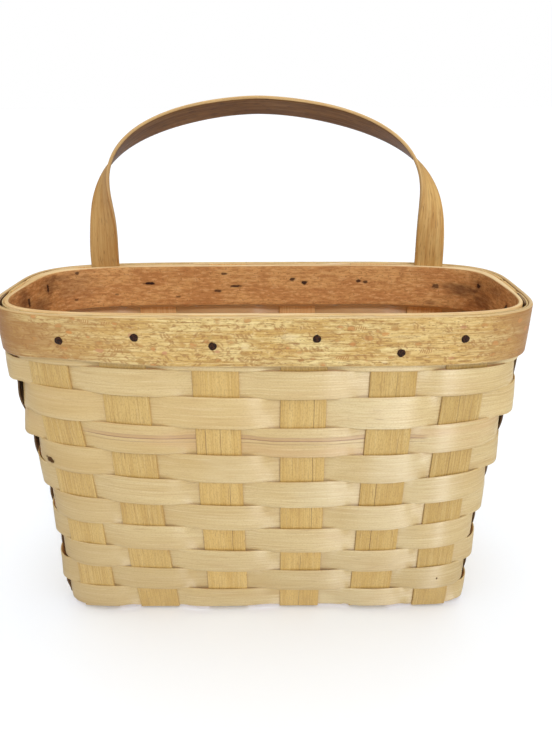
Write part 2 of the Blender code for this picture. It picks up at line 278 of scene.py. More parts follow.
def finish_mesh(name, verts, faces, uvs, material, side=None, angle=50):
    me = bpy.data.meshes.new(name)
    me.from_pydata(verts.tolist(), [], faces)
    me.validate()
    uv = me.uv_layers.new(name="strip")
    uv.data.foreach_set("uv", np.asarray(uvs, np.float32).ravel())
    if side is not None:
        at = me.attributes.new("side", "FLOAT", "POINT")
        at.data.foreach_set("value", side.astype(np.float32))
    me.materials.append(material)
    me.shade_smooth()
    me.set_sharp_from_angle(angle=math.radians(angle))
    me.update()
    ob = bpy.data.objects.new(name, me)
    bpy.context.scene.collection.objects.link(ob)
    return ob


def strip(name, centre, thick, edge, s, t, material, closed, total=None,
          bulge=None, u_shift=0.0, flip=False):
    """Closed solid strip with rounded edges.  centre[k, j] runs along (k)
    and across (j) the strip's middle surface, inset from its two long edges
    by the edge radius; s and t are the distances that the wood's grain
    follows.  bulge[k, j] lifts both faces."""
    C = np.asarray(centre, float)
    K, J, _ = C.shape
    if closed:
        along = np.roll(C, -1, 0) - np.roll(C, 1, 0)
    else:
        along = np.gradient(C, axis=0)
    across = np.gradient(C, axis=1)
    N = np.cross(along, across)
    N /= np.linalg.norm(N, axis=2, keepdims=True)
    if flip:
        N = -N
    T = np.broadcast_to(np.asarray(thick, float), (K, J))[..., None]
    if bulge is not None:
        C = C + N * bulge[..., None]
    ring, vs, sd = [], [], []
    for j in range(J):
        ring.append(C[:, j] + N[:, j] * T[:, j] / 2)
        vs.append(t[j])
        sd.append(1.0)

    def rounded(j, inner, sign):
        D = C[:, j] - C[:, inner]
        D /= np.linalg.norm(D, axis=1, keepdims=True)
        half = T[:, j] / 2
        r = np.minimum(edge, half * 0.98)
        e = math.sqrt(0.5)
        return [C[:, j] + D * r * e + N[:, j] * sign * (half - r + r * e),
                C[:, j] + D * r + N[:, j] * sign * (half - r),
                C[:, j] + D * r - N[:, j] * sign * (half - r),
                C[:, j] + D * r * e - N[:, j] * sign * (half - r + r * e)]
    tk = float(np.mean(T))
    for q, p in enumerate(rounded(J - 1, J - 2, 1)):
        ring.append(p)
        vs.append(t[-1] + (0.2, 0.4, 0.6, 0.8)[q] * (tk + edge))
        sd.append((0.5, 0.1, -0.1, -0.5)[q])
    far = t[-1] + tk + edge
    for j in reversed(range(J)):
        ring.append(C[:, j] - N[:, j] * T[:, j] / 2)
        vs.append(far + (t[-1] - t[j]))
        sd.append(-1.0)
    far += t[-1] - t[0]
    for q, p in enumerate(rounded(0, 1, -1)):
        ring.append(p)
        vs.append(far + (0.2, 0.4, 0.6, 0.8)[q] * (tk + edge))
        sd.append((-0.5, -0.1, 0.1, 0.5)[q])
    end_v = far + tk + edge
    R = len(ring)
    P = np.stack(ring, 1)                        # K, R, 3
    verts = to_world(P.reshape(-1, 3))
    vs = np.array(vs) * MM
    U = np.asarray(s, float) * MM + u_shift
    faces, uvs = [], []
    count = K if closed else K - 1
    for k in range(count):
        k2 = (k + 1) % K
        u1 = U[k]
        u2 = U[k + 1] if k + 1 < K else (total * MM + u_shift)
        for q in range(R):
            q2 = (q + 1) % R
            v1 = vs[q]
            v2 = vs[q2] if q2 else end_v * MM
            faces.append((k * R + q, k * R + q2, k2 * R + q2, k2 * R + q))
            uvs += [(u1, v1), (u1, v2), (u2, v2), (u2, v1)]
    if not closed:
        for k, back in ((0, False), (K - 1, True)):
            def put(loop):
                loop = list(loop)
                if back:
                    loop.reverse()
                faces.append(tuple(k * R + q for q in loop))
                for q in loop:
                    uvs.append((U[k] + sd[q] * tk * MM / 2, vs[q] if q < J
                                else t[min(J - 1, max(0, 2 * J + 3 - q))]
                                * MM))
            inner = [2 * J + 3 - j for j in range(J)]     # inner face points
            for j in range(J - 1):
                put((j, inner[j], inner[j + 1], j + 1))
            put((J - 1, inner[J - 1], J + 3, J + 2, J + 1, J))
            put((inner[0], 0, R - 1, R - 2, R - 3, R - 4))
    # faces point outwards
    V = verts
    vol = 0.0
    f = np.array([x[:3] for x in faces[:count * R]])
    g = np.array([(x[0], x[2], x[3]) for x in faces[:count * R]])
    for tri in (f, g):
        a, b, c = V[tri[:, 0]], V[tri[:, 1]], V[tri[:, 2]]
        vol += float(np.einsum("ij,ij->i", a, np.cross(b, c)).sum())
    if vol < 0:
        done = 0
        new_faces, new_uvs = [], []
        for fc in faces:
            n = len(fc)
            new_faces.append(tuple(reversed(fc)))
            new_uvs += list(reversed(uvs[done:done + n]))
            done += n
        faces, uvs = new_faces, new_uvs
    side = np.tile(np.array(sd), K)
    return finish_mesh(name, verts, faces, uvs, material, side)


# ---- materials -----------------------------------------------------------
class Tree:
    """A short way to write a procedural material.  s runs along the strip
    and t across it, in metres, from the strip's own unrolled coordinates."""

    def __init__(self, name):
        self.mat = bpy.data.materials.new(name)
        self.mat.use_nodes = True
        self.nt = self.mat.node_tree
        self.bsdf = self.nt.nodes["Principled BSDF"]
        uv = self.nt.nodes.new("ShaderNodeUVMap")
        uv.uv_map = "strip"
        self.uv = uv.outputs["UV"]
        sep = self.nt.nodes.new("ShaderNodeSeparateXYZ")
        self.link(self.uv, sep.inputs[0])
        self.s, self.t = sep.outputs[0], sep.outputs[1]

    def link(self, a, b):
        self.nt.links.new(a, b)

    def put(self, socket, value):
        if isinstance(value, bpy.types.NodeSocket):
            self.link(value, socket)
        elif isinstance(value, (tuple, list)) and len(value) == 3 \
                and socket.type == "RGBA":
            socket.default_value = (*value, 1.0)
        else:
            socket.default_value = value

    def math(self, op, a, b=0.0, c=None):
        n = self.nt.nodes.new("ShaderNodeMath")
        n.operation = op
        self.put(n.inputs[0], a)
        if op not in ("ABSOLUTE", "SINE", "FRACT", "FLOOR", "SQRT"):
            self.put(n.inputs[1], b)
        if c is not None:
            self.put(n.inputs[2], c)
        return n.outputs[0]

    def add(self, a, b):
        return self.math("ADD", a, b)

    def sub(self, a, b):
        return self.math("SUBTRACT", a, b)

    def mul(self, a, b):
        return self.math("MULTIPLY", a, b)

    def vec(self, x, y, z=0.0):
        n = self.nt.nodes.new("ShaderNodeCombineXYZ")
        for i, v in enumerate((x, y, z)):
            self.put(n.inputs[i], v)
        return n.outputs[0]

    def at(self, ks, kt, seed=0.0, s=None, t=None):
        """Grain coordinates, ks and kt features per metre."""
        return self.vec(self.mul(s or self.s, ks), self.mul(t or self.t, kt),
                        seed)

    def noise(self, v, detail=2.0, rough=0.5, distort=0.0, colour=False):
        n = self.nt.nodes.new("ShaderNodeTexNoise")
        n.inputs["Scale"].default_value = 1.0
        n.inputs["Detail"].default_value = detail
        n.inputs["Roughness"].default_value = rough
        n.inputs["Distortion"].default_value = distort
        self.link(v, n.inputs["Vector"])
        return n.outputs["Color" if colour else "Fac"]

    def wobble(self, v, size, detail=2.0):
        """Noise about zero, of the given height."""
        return self.mul(self.sub(self.noise(v, detail), 0.5), size)

    def cells(self, ks, kt, seed, s=None, t=None, rand=1.0):
        """Flat Voronoi cells: distance to the centre, and three random
        numbers of each cell."""
        n = self.nt.nodes.new("ShaderNodeTexVoronoi")
        n.voronoi_dimensions = "2D"
        n.inputs["Scale"].default_value = 1.0
        n.inputs["Randomness"].default_value = rand
        v = self.vec(self.add(self.mul(s or self.s, ks), seed * 7.31),
                     self.add(self.mul(t or self.t, kt), seed * 3.17))
        self.link(v, n.inputs["Vector"])
        sep = self.nt.nodes.new("ShaderNodeSeparateColor")
        self.link(n.outputs["Color"], sep.inputs[0])
        return n.outputs["Distance"], sep.outputs

    def span(self, v, a, b, low=0.0, high=1.0, smooth_step=True):
        """v from a..b to low..high, held at both ends."""
        n = self.nt.nodes.new("ShaderNodeMapRange")
        n.interpolation_type = "SMOOTHSTEP" if smooth_step else "LINEAR"
        n.clamp = True
        self.put(n.inputs["Value"], v)
        for name, x in (("From Min", a), ("From Max", b), ("To Min", low),
                        ("To Max", high)):
            self.put(n.inputs[name], x)
        return n.outputs["Result"]

    def mix(self, fac, a, b):
        n = self.nt.nodes.new("ShaderNodeMix")
        n.data_type = "RGBA"
        n.clamp_factor = True
        self.put(n.inputs["Factor"], fac)
        self.put(n.inputs[6], a)
        self.put(n.inputs[7], b)
        return n.outputs[2]

    def place(self):
        """Where the point is on the basket: x, y and z in metres."""
        tc = self.nt.nodes.new("ShaderNodeTexCoord")
        sep = self.nt.nodes.new("ShaderNodeSeparateXYZ")
        self.link(tc.outputs["Object"], sep.inputs[0])
        return sep.outputs

    def attr(self, name):
        n = self.nt.nodes.new("ShaderNodeAttribute")
        n.attribute_name = name
        return n.outputs["Fac"]

    def bump(self, height, distance, strength=1.0):
        n = self.nt.nodes.new("ShaderNodeBump")
        n.inputs["Strength"].default_value = strength
        n.inputs["Distance"].default_value = distance
        self.link(height, n.inputs["Height"])
        self.link(n.outputs["Normal"], self.bsdf.inputs["Normal"])

    def spot(self, s0, t0, rs, rt, wobble=None, soft=0.5):
        """1 inside an ellipse at (s0, t0) with radii rs, rt, in mm."""
        ds = self.mul(self.sub(self.s, s0 * MM), 1 / (rs * MM))
        dt = self.mul(self.sub(self.t, t0 * MM), 1 / (rt * MM))
        r = self.math("SQRT", self.add(self.mul(ds, ds), self.mul(dt, dt)))
        if wobble is not None:
            r = self.add(r, wobble)
        return self.span(r, 1.0, 1.0 - soft, 0.0, 1.0)

    def crack(self, t0, s0, s1, half, wobble):
        """1 along a thin line at t0 from s0 to s1, in mm."""
        dt = self.math("ABSOLUTE", self.add(self.sub(self.t, t0 * MM),
                                            wobble))
        line = self.span(dt, half * MM, half * 0.35 * MM)
        mid, reach = (s0 + s1) / 2, abs(s1 - s0) / 2
        ds = self.math("ABSOLUTE", self.sub(self.s, mid * MM))
        gate = self.span(ds, reach * MM, (reach - min(6, reach * 0.5)) * MM)
        return self.mul(line, gate)

    def gloss(self, rough, aniso, spec=0.5, ior=1.5):
        """Fibres run along the strip, so highlights spread across it."""
        tan = self.nt.nodes.new("ShaderNodeTangent")
        tan.direction_type = "UV_MAP"
        tan.uv_map = "strip"
        self.link(tan.outputs[0], self.bsdf.inputs["Tangent"])
        self.bsdf.inputs["Anisotropic"].default_value = aniso
        self.bsdf.inputs["Anisotropic Rotation"].default_value = 0.25
        self.bsdf.inputs["Specular IOR Level"].default_value = spec
        self.bsdf.inputs["IOR"].default_value = ior
        self.put(self.bsdf.inputs["Roughness"], rough)

    def colour(self, value):
        self.link(value, self.bsdf.inputs["Base Color"])
        return self.mat


def weaver_material(name, seed, tone=1.0, streak=None, spots=(), warm=0.0,
                    painted_sheen=(), tan=0.0):
    """Pale straw splint, fine fibres along it, a silky sheen across, and patches
    of painted sheen.
    """
    m = Tree(name)
    wide = m.noise(m.at(6, 45, seed), 3, 0.55)
    band = m.noise(m.at(5, 260, seed + 2), 3, 0.6)
    lines = m.noise(m.at(19, 820, seed + 3), 3, 0.62)
    fibre = m.noise(m.at(60, 1700, seed + 7), 2, 0.6)
    cloud = m.noise(m.at(26, 85, seed + 11), 3, 0.5)
    grain = m.noise(m.at(700, 1100, seed + 13), 1, 0.5)

    def c(r, g, b):
        return r * tone, g * tone, b * tone
    base = m.mix(m.span(wide, 0.36, 0.64), c(0.695, 0.500, 0.206),
                 c(0.765, 0.582, 0.270))
    base = m.mix(m.span(band, 0.50, 0.66, 0, 0.28), base,
                 c(0.65, 0.43, 0.165))
    base = m.mix(m.span(cloud, 0.54, 0.70, 0, 0.28), base,
                 c(0.665, 0.44, 0.185))
    base = m.mix(m.span(lines, 0.53, 0.63, 0, 0.38), base,
                 c(0.57, 0.36, 0.13))
    base = m.mix(m.span(lines, 0.46, 0.36, 0, 0.42), base,
                 c(0.87, 0.70, 0.38))
    base = m.mix(m.span(fibre, 0.53, 0.64, 0, 0.34), base,
                 c(0.53, 0.33, 0.125))
    base = m.mix(m.span(grain, 0.52, 0.62, 0, 0.28), base,
                 c(0.53, 0.33, 0.12))
    # painted sheen: here and there the front of a float is painted paler and less
    # saturated, where the highlight falls
    for s0, reach, amount in painted_sheen:
        ds = m.math("ABSOLUTE", m.sub(m.add(m.s, m.wobble(
            m.at(60, 90, seed + 47), 0.014)), s0 * MM))
        pale = m.span(ds, reach * MM, reach * 0.25 * MM)
        base = m.mix(m.mul(pale, m.span(fibre, 0.62, 0.42, 0.45 * amount,
                                        amount)), base,
                     (0.745, 0.655, 0.425))
    # scattered short brown dashes along the fibres
    dash = m.noise(m.at(70, 900, seed + 19), 1, 0.4)
    gate = m.noise(m.at(15, 60, seed + 23), 1, 0.5)
    dashes = m.mul(m.span(dash, 0.66, 0.74), m.span(gate, 0.52, 0.62))
    base = m.mix(m.mul(dashes, 0.5), base, c(0.40, 0.23, 0.09))
    # painted shade: the left part of the basket is darker and browner, where the
    # walls turn away from the light
    base = m.mix(m.span(m.place()[0], -0.060, -0.165, 0, 0.36), base,
                 c(0.50, 0.32, 0.115))
    if tan:
        base = m.mix(m.span(m.place()[0], 0.040, -0.030, 0, tan), base,
                     c(0.66, 0.41, 0.108))
    if warm:
        patch = m.noise(m.at(9, 70, seed + 31), 2, 0.5)
        base = m.mix(m.span(patch, 0.46, 0.62, 0, warm), base,
                     (0.60, 0.345, 0.145))
    height = m.add(m.mul(lines, 0.55), m.mul(fibre, 0.45))
    if streak:
        t0, reach, colour, amount = streak
        wob = m.wobble(m.at(13, 1, seed + 41), 0.0035)
        fade = m.span(m.noise(m.at(22, 5, seed + 43), 2), 0.36, 0.50,
                      0.35, 1.0)
        halo = m.crack(t0 - 1.2, *reach, 2.2, wob)
        base = m.mix(m.mul(m.mul(halo, fade), 0.75 * amount), base, colour)
        for lift, half, dark in ((0.0, 0.42, 1.0), (2.6, 0.30, 0.75),
                                 (-2.4, 0.22, 0.55)):
            line = m.crack(t0 + lift, *reach, half, wob)
            base = m.mix(m.mul(m.mul(line, fade), dark * amount), base,
                         (0.30, 0.145, 0.06))
            height = m.add(height, m.mul(line, -1.1 * dark))
    if spots:
        wob = m.wobble(m.at(420, 420, seed + 5), 1.6)
        for s0, t0, rs, rt, colour in spots:
            hit = m.spot(s0, t0, rs, rt, wob, 0.45)
            base = m.mix(hit, base, colour)
            m.link(hit, m.bsdf.inputs["Metallic"])
    # painted light: the inner face is lighter and redder, standing in for light
    # bounced round the inside of the basket
    base = m.mix(m.span(m.attr("side"), -0.3, -0.8, 0, 0.62), base,
                 (0.90, 0.56, 0.275))
    m.gloss(m.span(lines, 0.35, 0.65, 0.44, 0.54), 1.0, 1.0, 1.6)
    m.bump(m.add(height, m.mul(grain, 0.2)), 0.00024, 0.6)
    return m.colour(base)


def stake_material(name, seed, cracks=(), tone=1.0, painted_edge_shade=0.0):
    """Golden tan splint with vertical grain and a few thin splits; its inner face
    is redder and painted lighter against the shade inside; on the end walls its
    edges can carry painted shade."""
    m = Tree(name)
    side = m.attr("side")
    wide = m.noise(m.at(9, 90, seed), 3, 0.55)
    band = m.noise(m.at(5, 300, seed + 2), 3, 0.6)
    lines = m.noise(m.at(16, 950, seed + 3), 3, 0.65)
    fibre = m.noise(m.at(90, 1900, seed + 7), 2, 0.6)
    grain = m.noise(m.at(520, 1300, seed + 13), 1, 0.5)

    def c(r, g, b):
        return r * tone, g * tone, b * tone
    base = m.mix(m.span(wide, 0.36, 0.64), c(0.665, 0.425, 0.117),
                 c(0.745, 0.505, 0.164))
    base = m.mix(m.span(band, 0.50, 0.64, 0, 0.25), base,
                 c(0.59, 0.355, 0.105))
    base = m.mix(m.span(lines, 0.53, 0.62, 0, 0.42), base,
                 c(0.49, 0.275, 0.078))
    base = m.mix(m.span(lines, 0.46, 0.36, 0, 0.42), base,
                 c(0.82, 0.61, 0.26))
    base = m.mix(m.span(fibre, 0.53, 0.64, 0, 0.38), base,
                 c(0.45, 0.25, 0.074))
    base = m.mix(m.span(grain, 0.50, 0.62, 0, 0.34), base,
                 c(0.44, 0.25, 0.075))
    tick = m.noise(m.at(70, 1000, seed + 19), 1, 0.4)
    base = m.mix(m.span(tick, 0.67, 0.75, 0, 0.5), base,
                 c(0.33, 0.17, 0.055))
    height = m.add(m.mul(lines, 0.6), m.mul(fibre, 0.4))
    wob = m.wobble(m.at(35, 3, seed + 29), 0.0016)
    for t0, s0, s1, half, dark in cracks:
        line = m.crack(t0, s0, s1, half, wob)
        base = m.mix(m.mul(line, dark), base, (0.15, 0.065, 0.02))
        height = m.add(height, m.mul(line, -1.5))
    # the inner face: redder wood, and painted light that lifts it out of the
    # shade inside the basket
    inside = m.mix(m.span(lines, 0.4, 0.6), (0.86, 0.49, 0.20),
                   (0.97, 0.63, 0.29))
    base = m.mix(m.span(side, -0.3, -0.8), base, inside)
    if painted_edge_shade:
        # painted shade: the cut edges and the inner face beside them are dark,
        # standing in for the shadowed slots at the front corners; only on the end
        # walls
        wall = m.mul(m.span(m.math("ABSOLUTE", m.place()[0]), 0.158, 0.166),
                     painted_edge_shade)
        cut = m.span(m.math("ABSOLUTE", side), 0.96, 0.5)
        base = m.mix(m.mul(cut, wall), base, (0.05, 0.022, 0.012))
        rim = m.mul(m.span(m.math("ABSOLUTE", m.t), 0.0070, 0.0095),
                    m.span(side, -0.3, -0.8))
        base = m.mix(m.mul(rim, wall), base, (0.10, 0.042, 0.018))
    m.gloss(m.span(lines, 0.35, 0.65, 0.46, 0.58), 0.7, 0.6, 1.5)
    m.bump(height, 0.00022, 0.5)
    return m.colour(base)


def joint(m, base, lean=0.6):
    """Thin dark line where the two ends of a hoop are scarfed together."""
    d = m.math("ABSOLUTE", m.sub(m.sub(m.s, 0.0115), m.mul(m.t, lean)))
    return m.mix(m.span(d, 0.00032, 0.00012, 0, 0.85), base,
                 (0.10, 0.05, 0.02))


def rim_material(name, seed, blobs=(), strokes=()):
    """Outer band: pale and tan figure, thin dark grain lines, and many ray flecks
    in slanting groups; painted shade darkens its two ends, where it turns away
    from the light."""
    m = Tree(name)
    side = m.math("ABSOLUTE", m.attr("side"))
    wide = m.noise(m.at(24, 95, seed), 4, 0.6)
    zone = m.noise(m.at(7, 40, seed + 1), 2, 0.5)
    lines = m.noise(m.at(18, 700, seed + 3), 3, 0.62, 0.2)
    fibre = m.noise(m.at(110, 1500, seed + 7), 2, 0.6)
    mottle = m.noise(m.at(190, 520, seed + 9), 3, 0.65)
    pale, tan = (0.745, 0.58, 0.255), (0.59, 0.375, 0.118)
    base = m.mix(m.span(wide, 0.40, 0.60), tan, pale)
    base = m.mix(m.span(zone, 0.42, 0.62, 0, 0.5), base,
                 (0.65, 0.415, 0.140))
    base = m.mix(m.span(lines, 0.53, 0.60, 0, 0.50), base,
                 (0.45, 0.25, 0.075))
    base = m.mix(m.span(lines, 0.46, 0.38, 0, 0.34), base,
                 (0.86, 0.70, 0.36))
    base = m.mix(m.span(fibre, 0.53, 0.63, 0, 0.42), base,
                 (0.42, 0.24, 0.08))
    base = m.mix(m.span(mottle, 0.53, 0.62, 0, 0.52), base,
                 (0.42, 0.235, 0.07))
    base = m.mix(m.span(mottle, 0.45, 0.36, 0, 0.36), base,
                 (0.87, 0.71, 0.38))
    ragged = m.noise(m.at(85, 640, seed + 81), 3, 0.7, 0.5)
    base = m.mix(m.span(ragged, 0.575, 0.615, 0, 0.75), base,
                 (0.31, 0.16, 0.048))
    # painted shade: darker and browner at both ends, most at the left, where the
    # band turns away from the light
    x = m.place()[0]
    painted_shade_zone = m.math("MAXIMUM", m.span(x, -0.060, -0.165),
                  m.mul(m.span(x, 0.125, 0.176), 0.95))
    patchy = m.span(m.noise(m.at(34, 110, seed + 11), 3), 0.36, 0.60,
                    0.45, 1.0)
    base = m.mix(m.mul(m.mul(painted_shade_zone, patchy), 0.82), base,
                 (0.38, 0.19, 0.062))
    # more painted shade round the two ends' corners
    base = m.mix(m.mul(m.span(m.math("ABSOLUTE", x), 0.154, 0.184, 0, 0.88),
                       m.span(patchy, 0.4, 1.0, 0.75, 1.0)), base,
                 (0.36, 0.175, 0.055))
    base = m.mix(m.span(x, -0.156, -0.184, 0, 0.58), base,
                 (0.27, 0.105, 0.014))
    base = m.mix(m.span(x, 0.166, 0.186, 0, 0.30), base,
                 (0.27, 0.105, 0.014))
    # long wavy grain lines
    bend = m.wobble(m.at(12, 34, seed + 13), 0.012)
    wave = m.math("ABSOLUTE", m.math("SINE", m.mul(
        m.add(m.t, bend), math.pi / 0.0034)))
    gate = m.noise(m.at(26, 240, seed + 17), 2)
    grain = m.mul(m.span(wave, 0.42, 0.12), m.span(gate, 0.46, 0.56))
    base = m.mix(m.mul(grain, 0.5), base, (0.36, 0.19, 0.062))
    # bent coordinates for the flecks
    warp = m.nt.nodes.new("ShaderNodeSeparateXYZ")
    m.link(m.noise(m.at(240, 300, seed + 27), 2, 0.5, 0, True),
           warp.inputs[0])
    ws = m.add(m.s, m.mul(m.sub(warp.outputs[0], 0.5), 0.0042))
    wt = m.add(m.t, m.mul(m.sub(warp.outputs[1], 0.5), 0.0034))
    many = m.span(m.noise(m.at(30, 80, seed + 23), 2, 0.5), 0.44, 0.53)
    # round and oval flecks, orange to olive brown
    dist, pick = m.cells(115, 170, seed + 33, ws, wt)
    size = m.span(pick[1], 0.0, 1.0, 0.18, 0.33, False)
    gate = m.mul(m.span(pick[0], 0.50, 0.54), many)
    blob = m.mul(m.span(m.sub(size, dist), 0.0, 0.09), gate)
    hue = m.mix(pick[2], (0.54, 0.225, 0.07), (0.40, 0.24, 0.07))
    base = m.mix(m.mul(blob, 0.74), base, hue)
    rimmed = m.mul(m.span(m.math("ABSOLUTE", m.sub(size, dist)), 0.07,
                          0.02), gate)
    base = m.mix(m.mul(rimmed, 0.40), base, (0.34, 0.17, 0.055))
    # short slanting flecks in groups
    groups = m.span(m.noise(m.at(60, 150, seed + 43), 1), 0.49, 0.56)
    other = m.span(m.noise(m.at(50, 130, seed + 53), 1), 0.53, 0.60)
    for k, lean, where in ((0, -0.55, groups), (1, 0.75, other)):
        slant = m.add(ws, m.mul(wt, lean))
        dist, pick = m.cells(360, 190, seed + 39 + k, slant, wt, 0.9)
        stroke = m.mul(m.span(dist, 0.48, 0.18),
                       m.mul(m.span(pick[0], 0.45, 0.50), where))
        if k:
            stroke = m.mul(stroke, m.span(x, 0.04, -0.02))
        base = m.mix(m.mul(stroke, 0.66), base, (0.36, 0.175, 0.055))
    # fine dark specks
    dist, pick = m.cells(420, 620, seed + 61)
    speck = m.mul(m.span(dist, 0.32, 0.14), m.span(pick[0], 0.82, 0.85))
    base = m.mix(m.mul(speck, 0.5), base, (0.30, 0.15, 0.05))
    # marks that stand out, where they are on the band
    rough = m.wobble(m.at(330, 360, seed + 71), 1.3)
    for s0, t0, rs, rt, colour, amount in blobs:
        hit = m.spot(s0, t0, rs, rt, rough, 0.35)
        base = m.mix(m.mul(hit, amount), base, colour)
    for s0, t0, length, pitch, count in strokes:
        ds = m.sub(m.add(m.s, m.mul(wt, 0.35)), (s0 + 0.35 * t0) * MM)
        comb = m.math("ABSOLUTE", m.math("SINE", m.mul(
            m.add(ds, m.mul(m.sub(warp.outputs[0], 0.5), 0.0012)),
            math.pi / (pitch * MM))))
        across = m.span(m.math("ABSOLUTE", m.sub(wt, t0 * MM)),
                        length / 2 * MM, length / 4 * MM)
        along = m.span(m.math("ABSOLUTE", ds), count * pitch / 2 * MM,
                       (count * pitch / 2 - 0.4) * MM)
        base = m.mix(m.mul(m.mul(m.span(comb, 0.40, 0.86), across),
                           m.mul(along, 0.8)), base, (0.43, 0.215, 0.07))
    # the cut edges are paler and plain
    edge = m.span(side, 0.93, 0.55)
    base = m.mix(m.mul(edge, 0.75), base, m.mix(
        m.span(lines, 0.4, 0.6), (0.70, 0.535, 0.30), (0.58, 0.40, 0.18)))
    base = joint(m, base)
    m.gloss(m.span(lines, 0.35, 0.65, 0.46, 0.60), 0.4, 0.22)
    h = m.add(m.mul(lines, 0.5), m.mul(fibre, 0.3))
    m.bump(m.add(h, m.add(m.mul(grain, -0.35), m.mul(blob, 0.12))),
           0.00028, 0.6)
    return m.colour(base)


def inner_rim_material(name, seed, marks=(), stains=()):
    """Inner band: reddish brown, short fibrous mottling, dark marks."""
    m = Tree(name)
    side = m.math("ABSOLUTE", m.attr("side"))
    wide = m.noise(m.at(20, 60, seed), 4, 0.6)
    mottle = m.noise(m.at(120, 420, seed + 3), 3, 0.65)
    fibre = m.noise(m.at(230, 1300, seed + 5), 2, 0.6)
    streak = m.noise(m.at(14, 330, seed + 7), 3, 0.6)
    base = m.mix(m.span(wide, 0.38, 0.62), (0.60, 0.280, 0.094),
                 (0.75, 0.410, 0.150))
    base = m.mix(m.span(streak, 0.52, 0.62, 0, 0.5), base,
                 (0.51, 0.222, 0.074))
    base = m.mix(m.span(mottle, 0.52, 0.60, 0, 0.58), base,
                 (0.46, 0.19, 0.06))
    base = m.mix(m.span(mottle, 0.47, 0.39, 0, 0.52), base,
                 (0.86, 0.52, 0.23))
    base = m.mix(m.span(fibre, 0.53, 0.61, 0, 0.48), base,
                 (0.40, 0.165, 0.055))
    pore = m.noise(m.at(520, 420, seed + 21), 1, 0.5)
    base = m.mix(m.span(pore, 0.62, 0.70, 0, 0.5), base,
                 (0.34, 0.135, 0.045))
    wob = m.wobble(m.at(260, 420, seed + 13), 1.5)
    drift = m.wobble(m.at(95, 190, seed + 17), 1.1)
    for s0, t0, rs, rt, dark in stains:
        hit = m.spot(s0, t0, rs, rt, drift, 0.9)
        base = m.mix(m.mul(hit, dark), base, m.mix(
            m.span(mottle, 0.42, 0.58), (0.21, 0.082, 0.030),
            (0.13, 0.046, 0.018)))
    for s0, t0, rs, rt, dark in marks:
        hit = m.spot(s0, t0, rs * 1.7, rt * 1.7, wob, 0.8)
        base = m.mix(m.mul(hit, 0.45 * dark), base, (0.24, 0.085, 0.03))
        hit = m.spot(s0, t0, rs, rt, wob, 0.4)
        base = m.mix(m.mul(hit, dark), base, (0.026, 0.008, 0.004))
    edge = m.math("MAXIMUM", m.span(side, 0.93, 0.55),
                  m.span(m.attr("side"), -0.3, -0.8))
    base = m.mix(m.mul(edge, 0.9), base, m.mix(
        m.span(streak, 0.42, 0.6), (0.78, 0.60, 0.33), (0.64, 0.43, 0.19)))
    base = joint(m, base, -0.5)
    m.gloss(m.span(mottle, 0.35, 0.65, 0.48, 0.62), 0.3, 0.25)
    m.bump(m.add(m.mul(fibre, 0.5), m.mul(mottle, 0.5)), 0.00028, 0.6)
    return m.colour(base)


def handle_material(name, seed):
    """Tan wood, grain along the strip; the face under the arch is painted dark,
    as shade under the arch."""
    m = Tree(name)
    side = m.attr("side")
    wide = m.noise(m.at(13, 110, seed), 4, 0.6)
    band = m.noise(m.at(7, 330, seed + 2), 3, 0.6)
    lines = m.noise(m.at(20, 820, seed + 3), 4, 0.65)
    fibre = m.noise(m.at(75, 1800, seed + 7), 2, 0.6)
    base = m.mix(m.span(wide, 0.38, 0.62), (0.515, 0.275, 0.078),
                 (0.660, 0.430, 0.158))
    base = m.mix(m.span(band, 0.51, 0.63, 0, 0.42), base,
                 (0.47, 0.220, 0.058))
    base = m.mix(m.span(lines, 0.53, 0.63, 0, 0.38), base,
                 (0.42, 0.19, 0.052))
    base = m.mix(m.span(lines, 0.46, 0.36, 0, 0.38), base,
                 (0.79, 0.53, 0.21))
    base = m.mix(m.span(fibre, 0.53, 0.66, 0, 0.4), base,
                 (0.33, 0.16, 0.052))
    base = m.mix(m.span(m.place()[0], 0.02, -0.08, 0, 0.34), base,
                 (0.38, 0.185, 0.058))
    tick = m.noise(m.at(120, 1000, seed + 19), 1, 0.4)
    base = m.mix(m.span(tick, 0.63, 0.72, 0, 0.55), base,
                 (0.22, 0.10, 0.035))
    # painted shade: a darker copy of the wood for the face under the arch
    painted_underside_shade = m.mix(m.span(wide, 0.38, 0.62), (0.142, 0.060, 0.016),
                 (0.205, 0.094, 0.027))
    painted_underside_shade = m.mix(m.span(lines, 0.52, 0.64, 0, 0.5), painted_underside_shade,
                 (0.098, 0.038, 0.010))
    painted_underside_shade = m.mix(m.span(lines, 0.46, 0.36, 0, 0.4), painted_underside_shade,
                 (0.27, 0.140, 0.048))
    painted_underside_shade = m.mix(m.span(tick, 0.60, 0.70, 0, 0.7), painted_underside_shade,
                 (0.055, 0.025, 0.012))
    # where that painted shade goes: the face under the arch, on its upper part
    under = m.mul(m.span(side, -0.45, -0.9), m.attr("painted_shade_zone"))
    base = m.mix(under, base, painted_underside_shade)
    edge = m.span(m.math("ABSOLUTE", side), 0.93, 0.55)
    base = m.mix(m.mul(edge, 0.6), base, m.mix(
        m.span(lines, 0.4, 0.6), (0.66, 0.46, 0.22), (0.50, 0.32, 0.14)))
    m.gloss(m.span(lines, 0.35, 0.65, 0.44, 0.58), 0.5, 0.25)
    m.bump(m.add(m.mul(lines, 0.6), m.mul(fibre, 0.4)), 0.00028, 0.55)
    return m.colour(base)


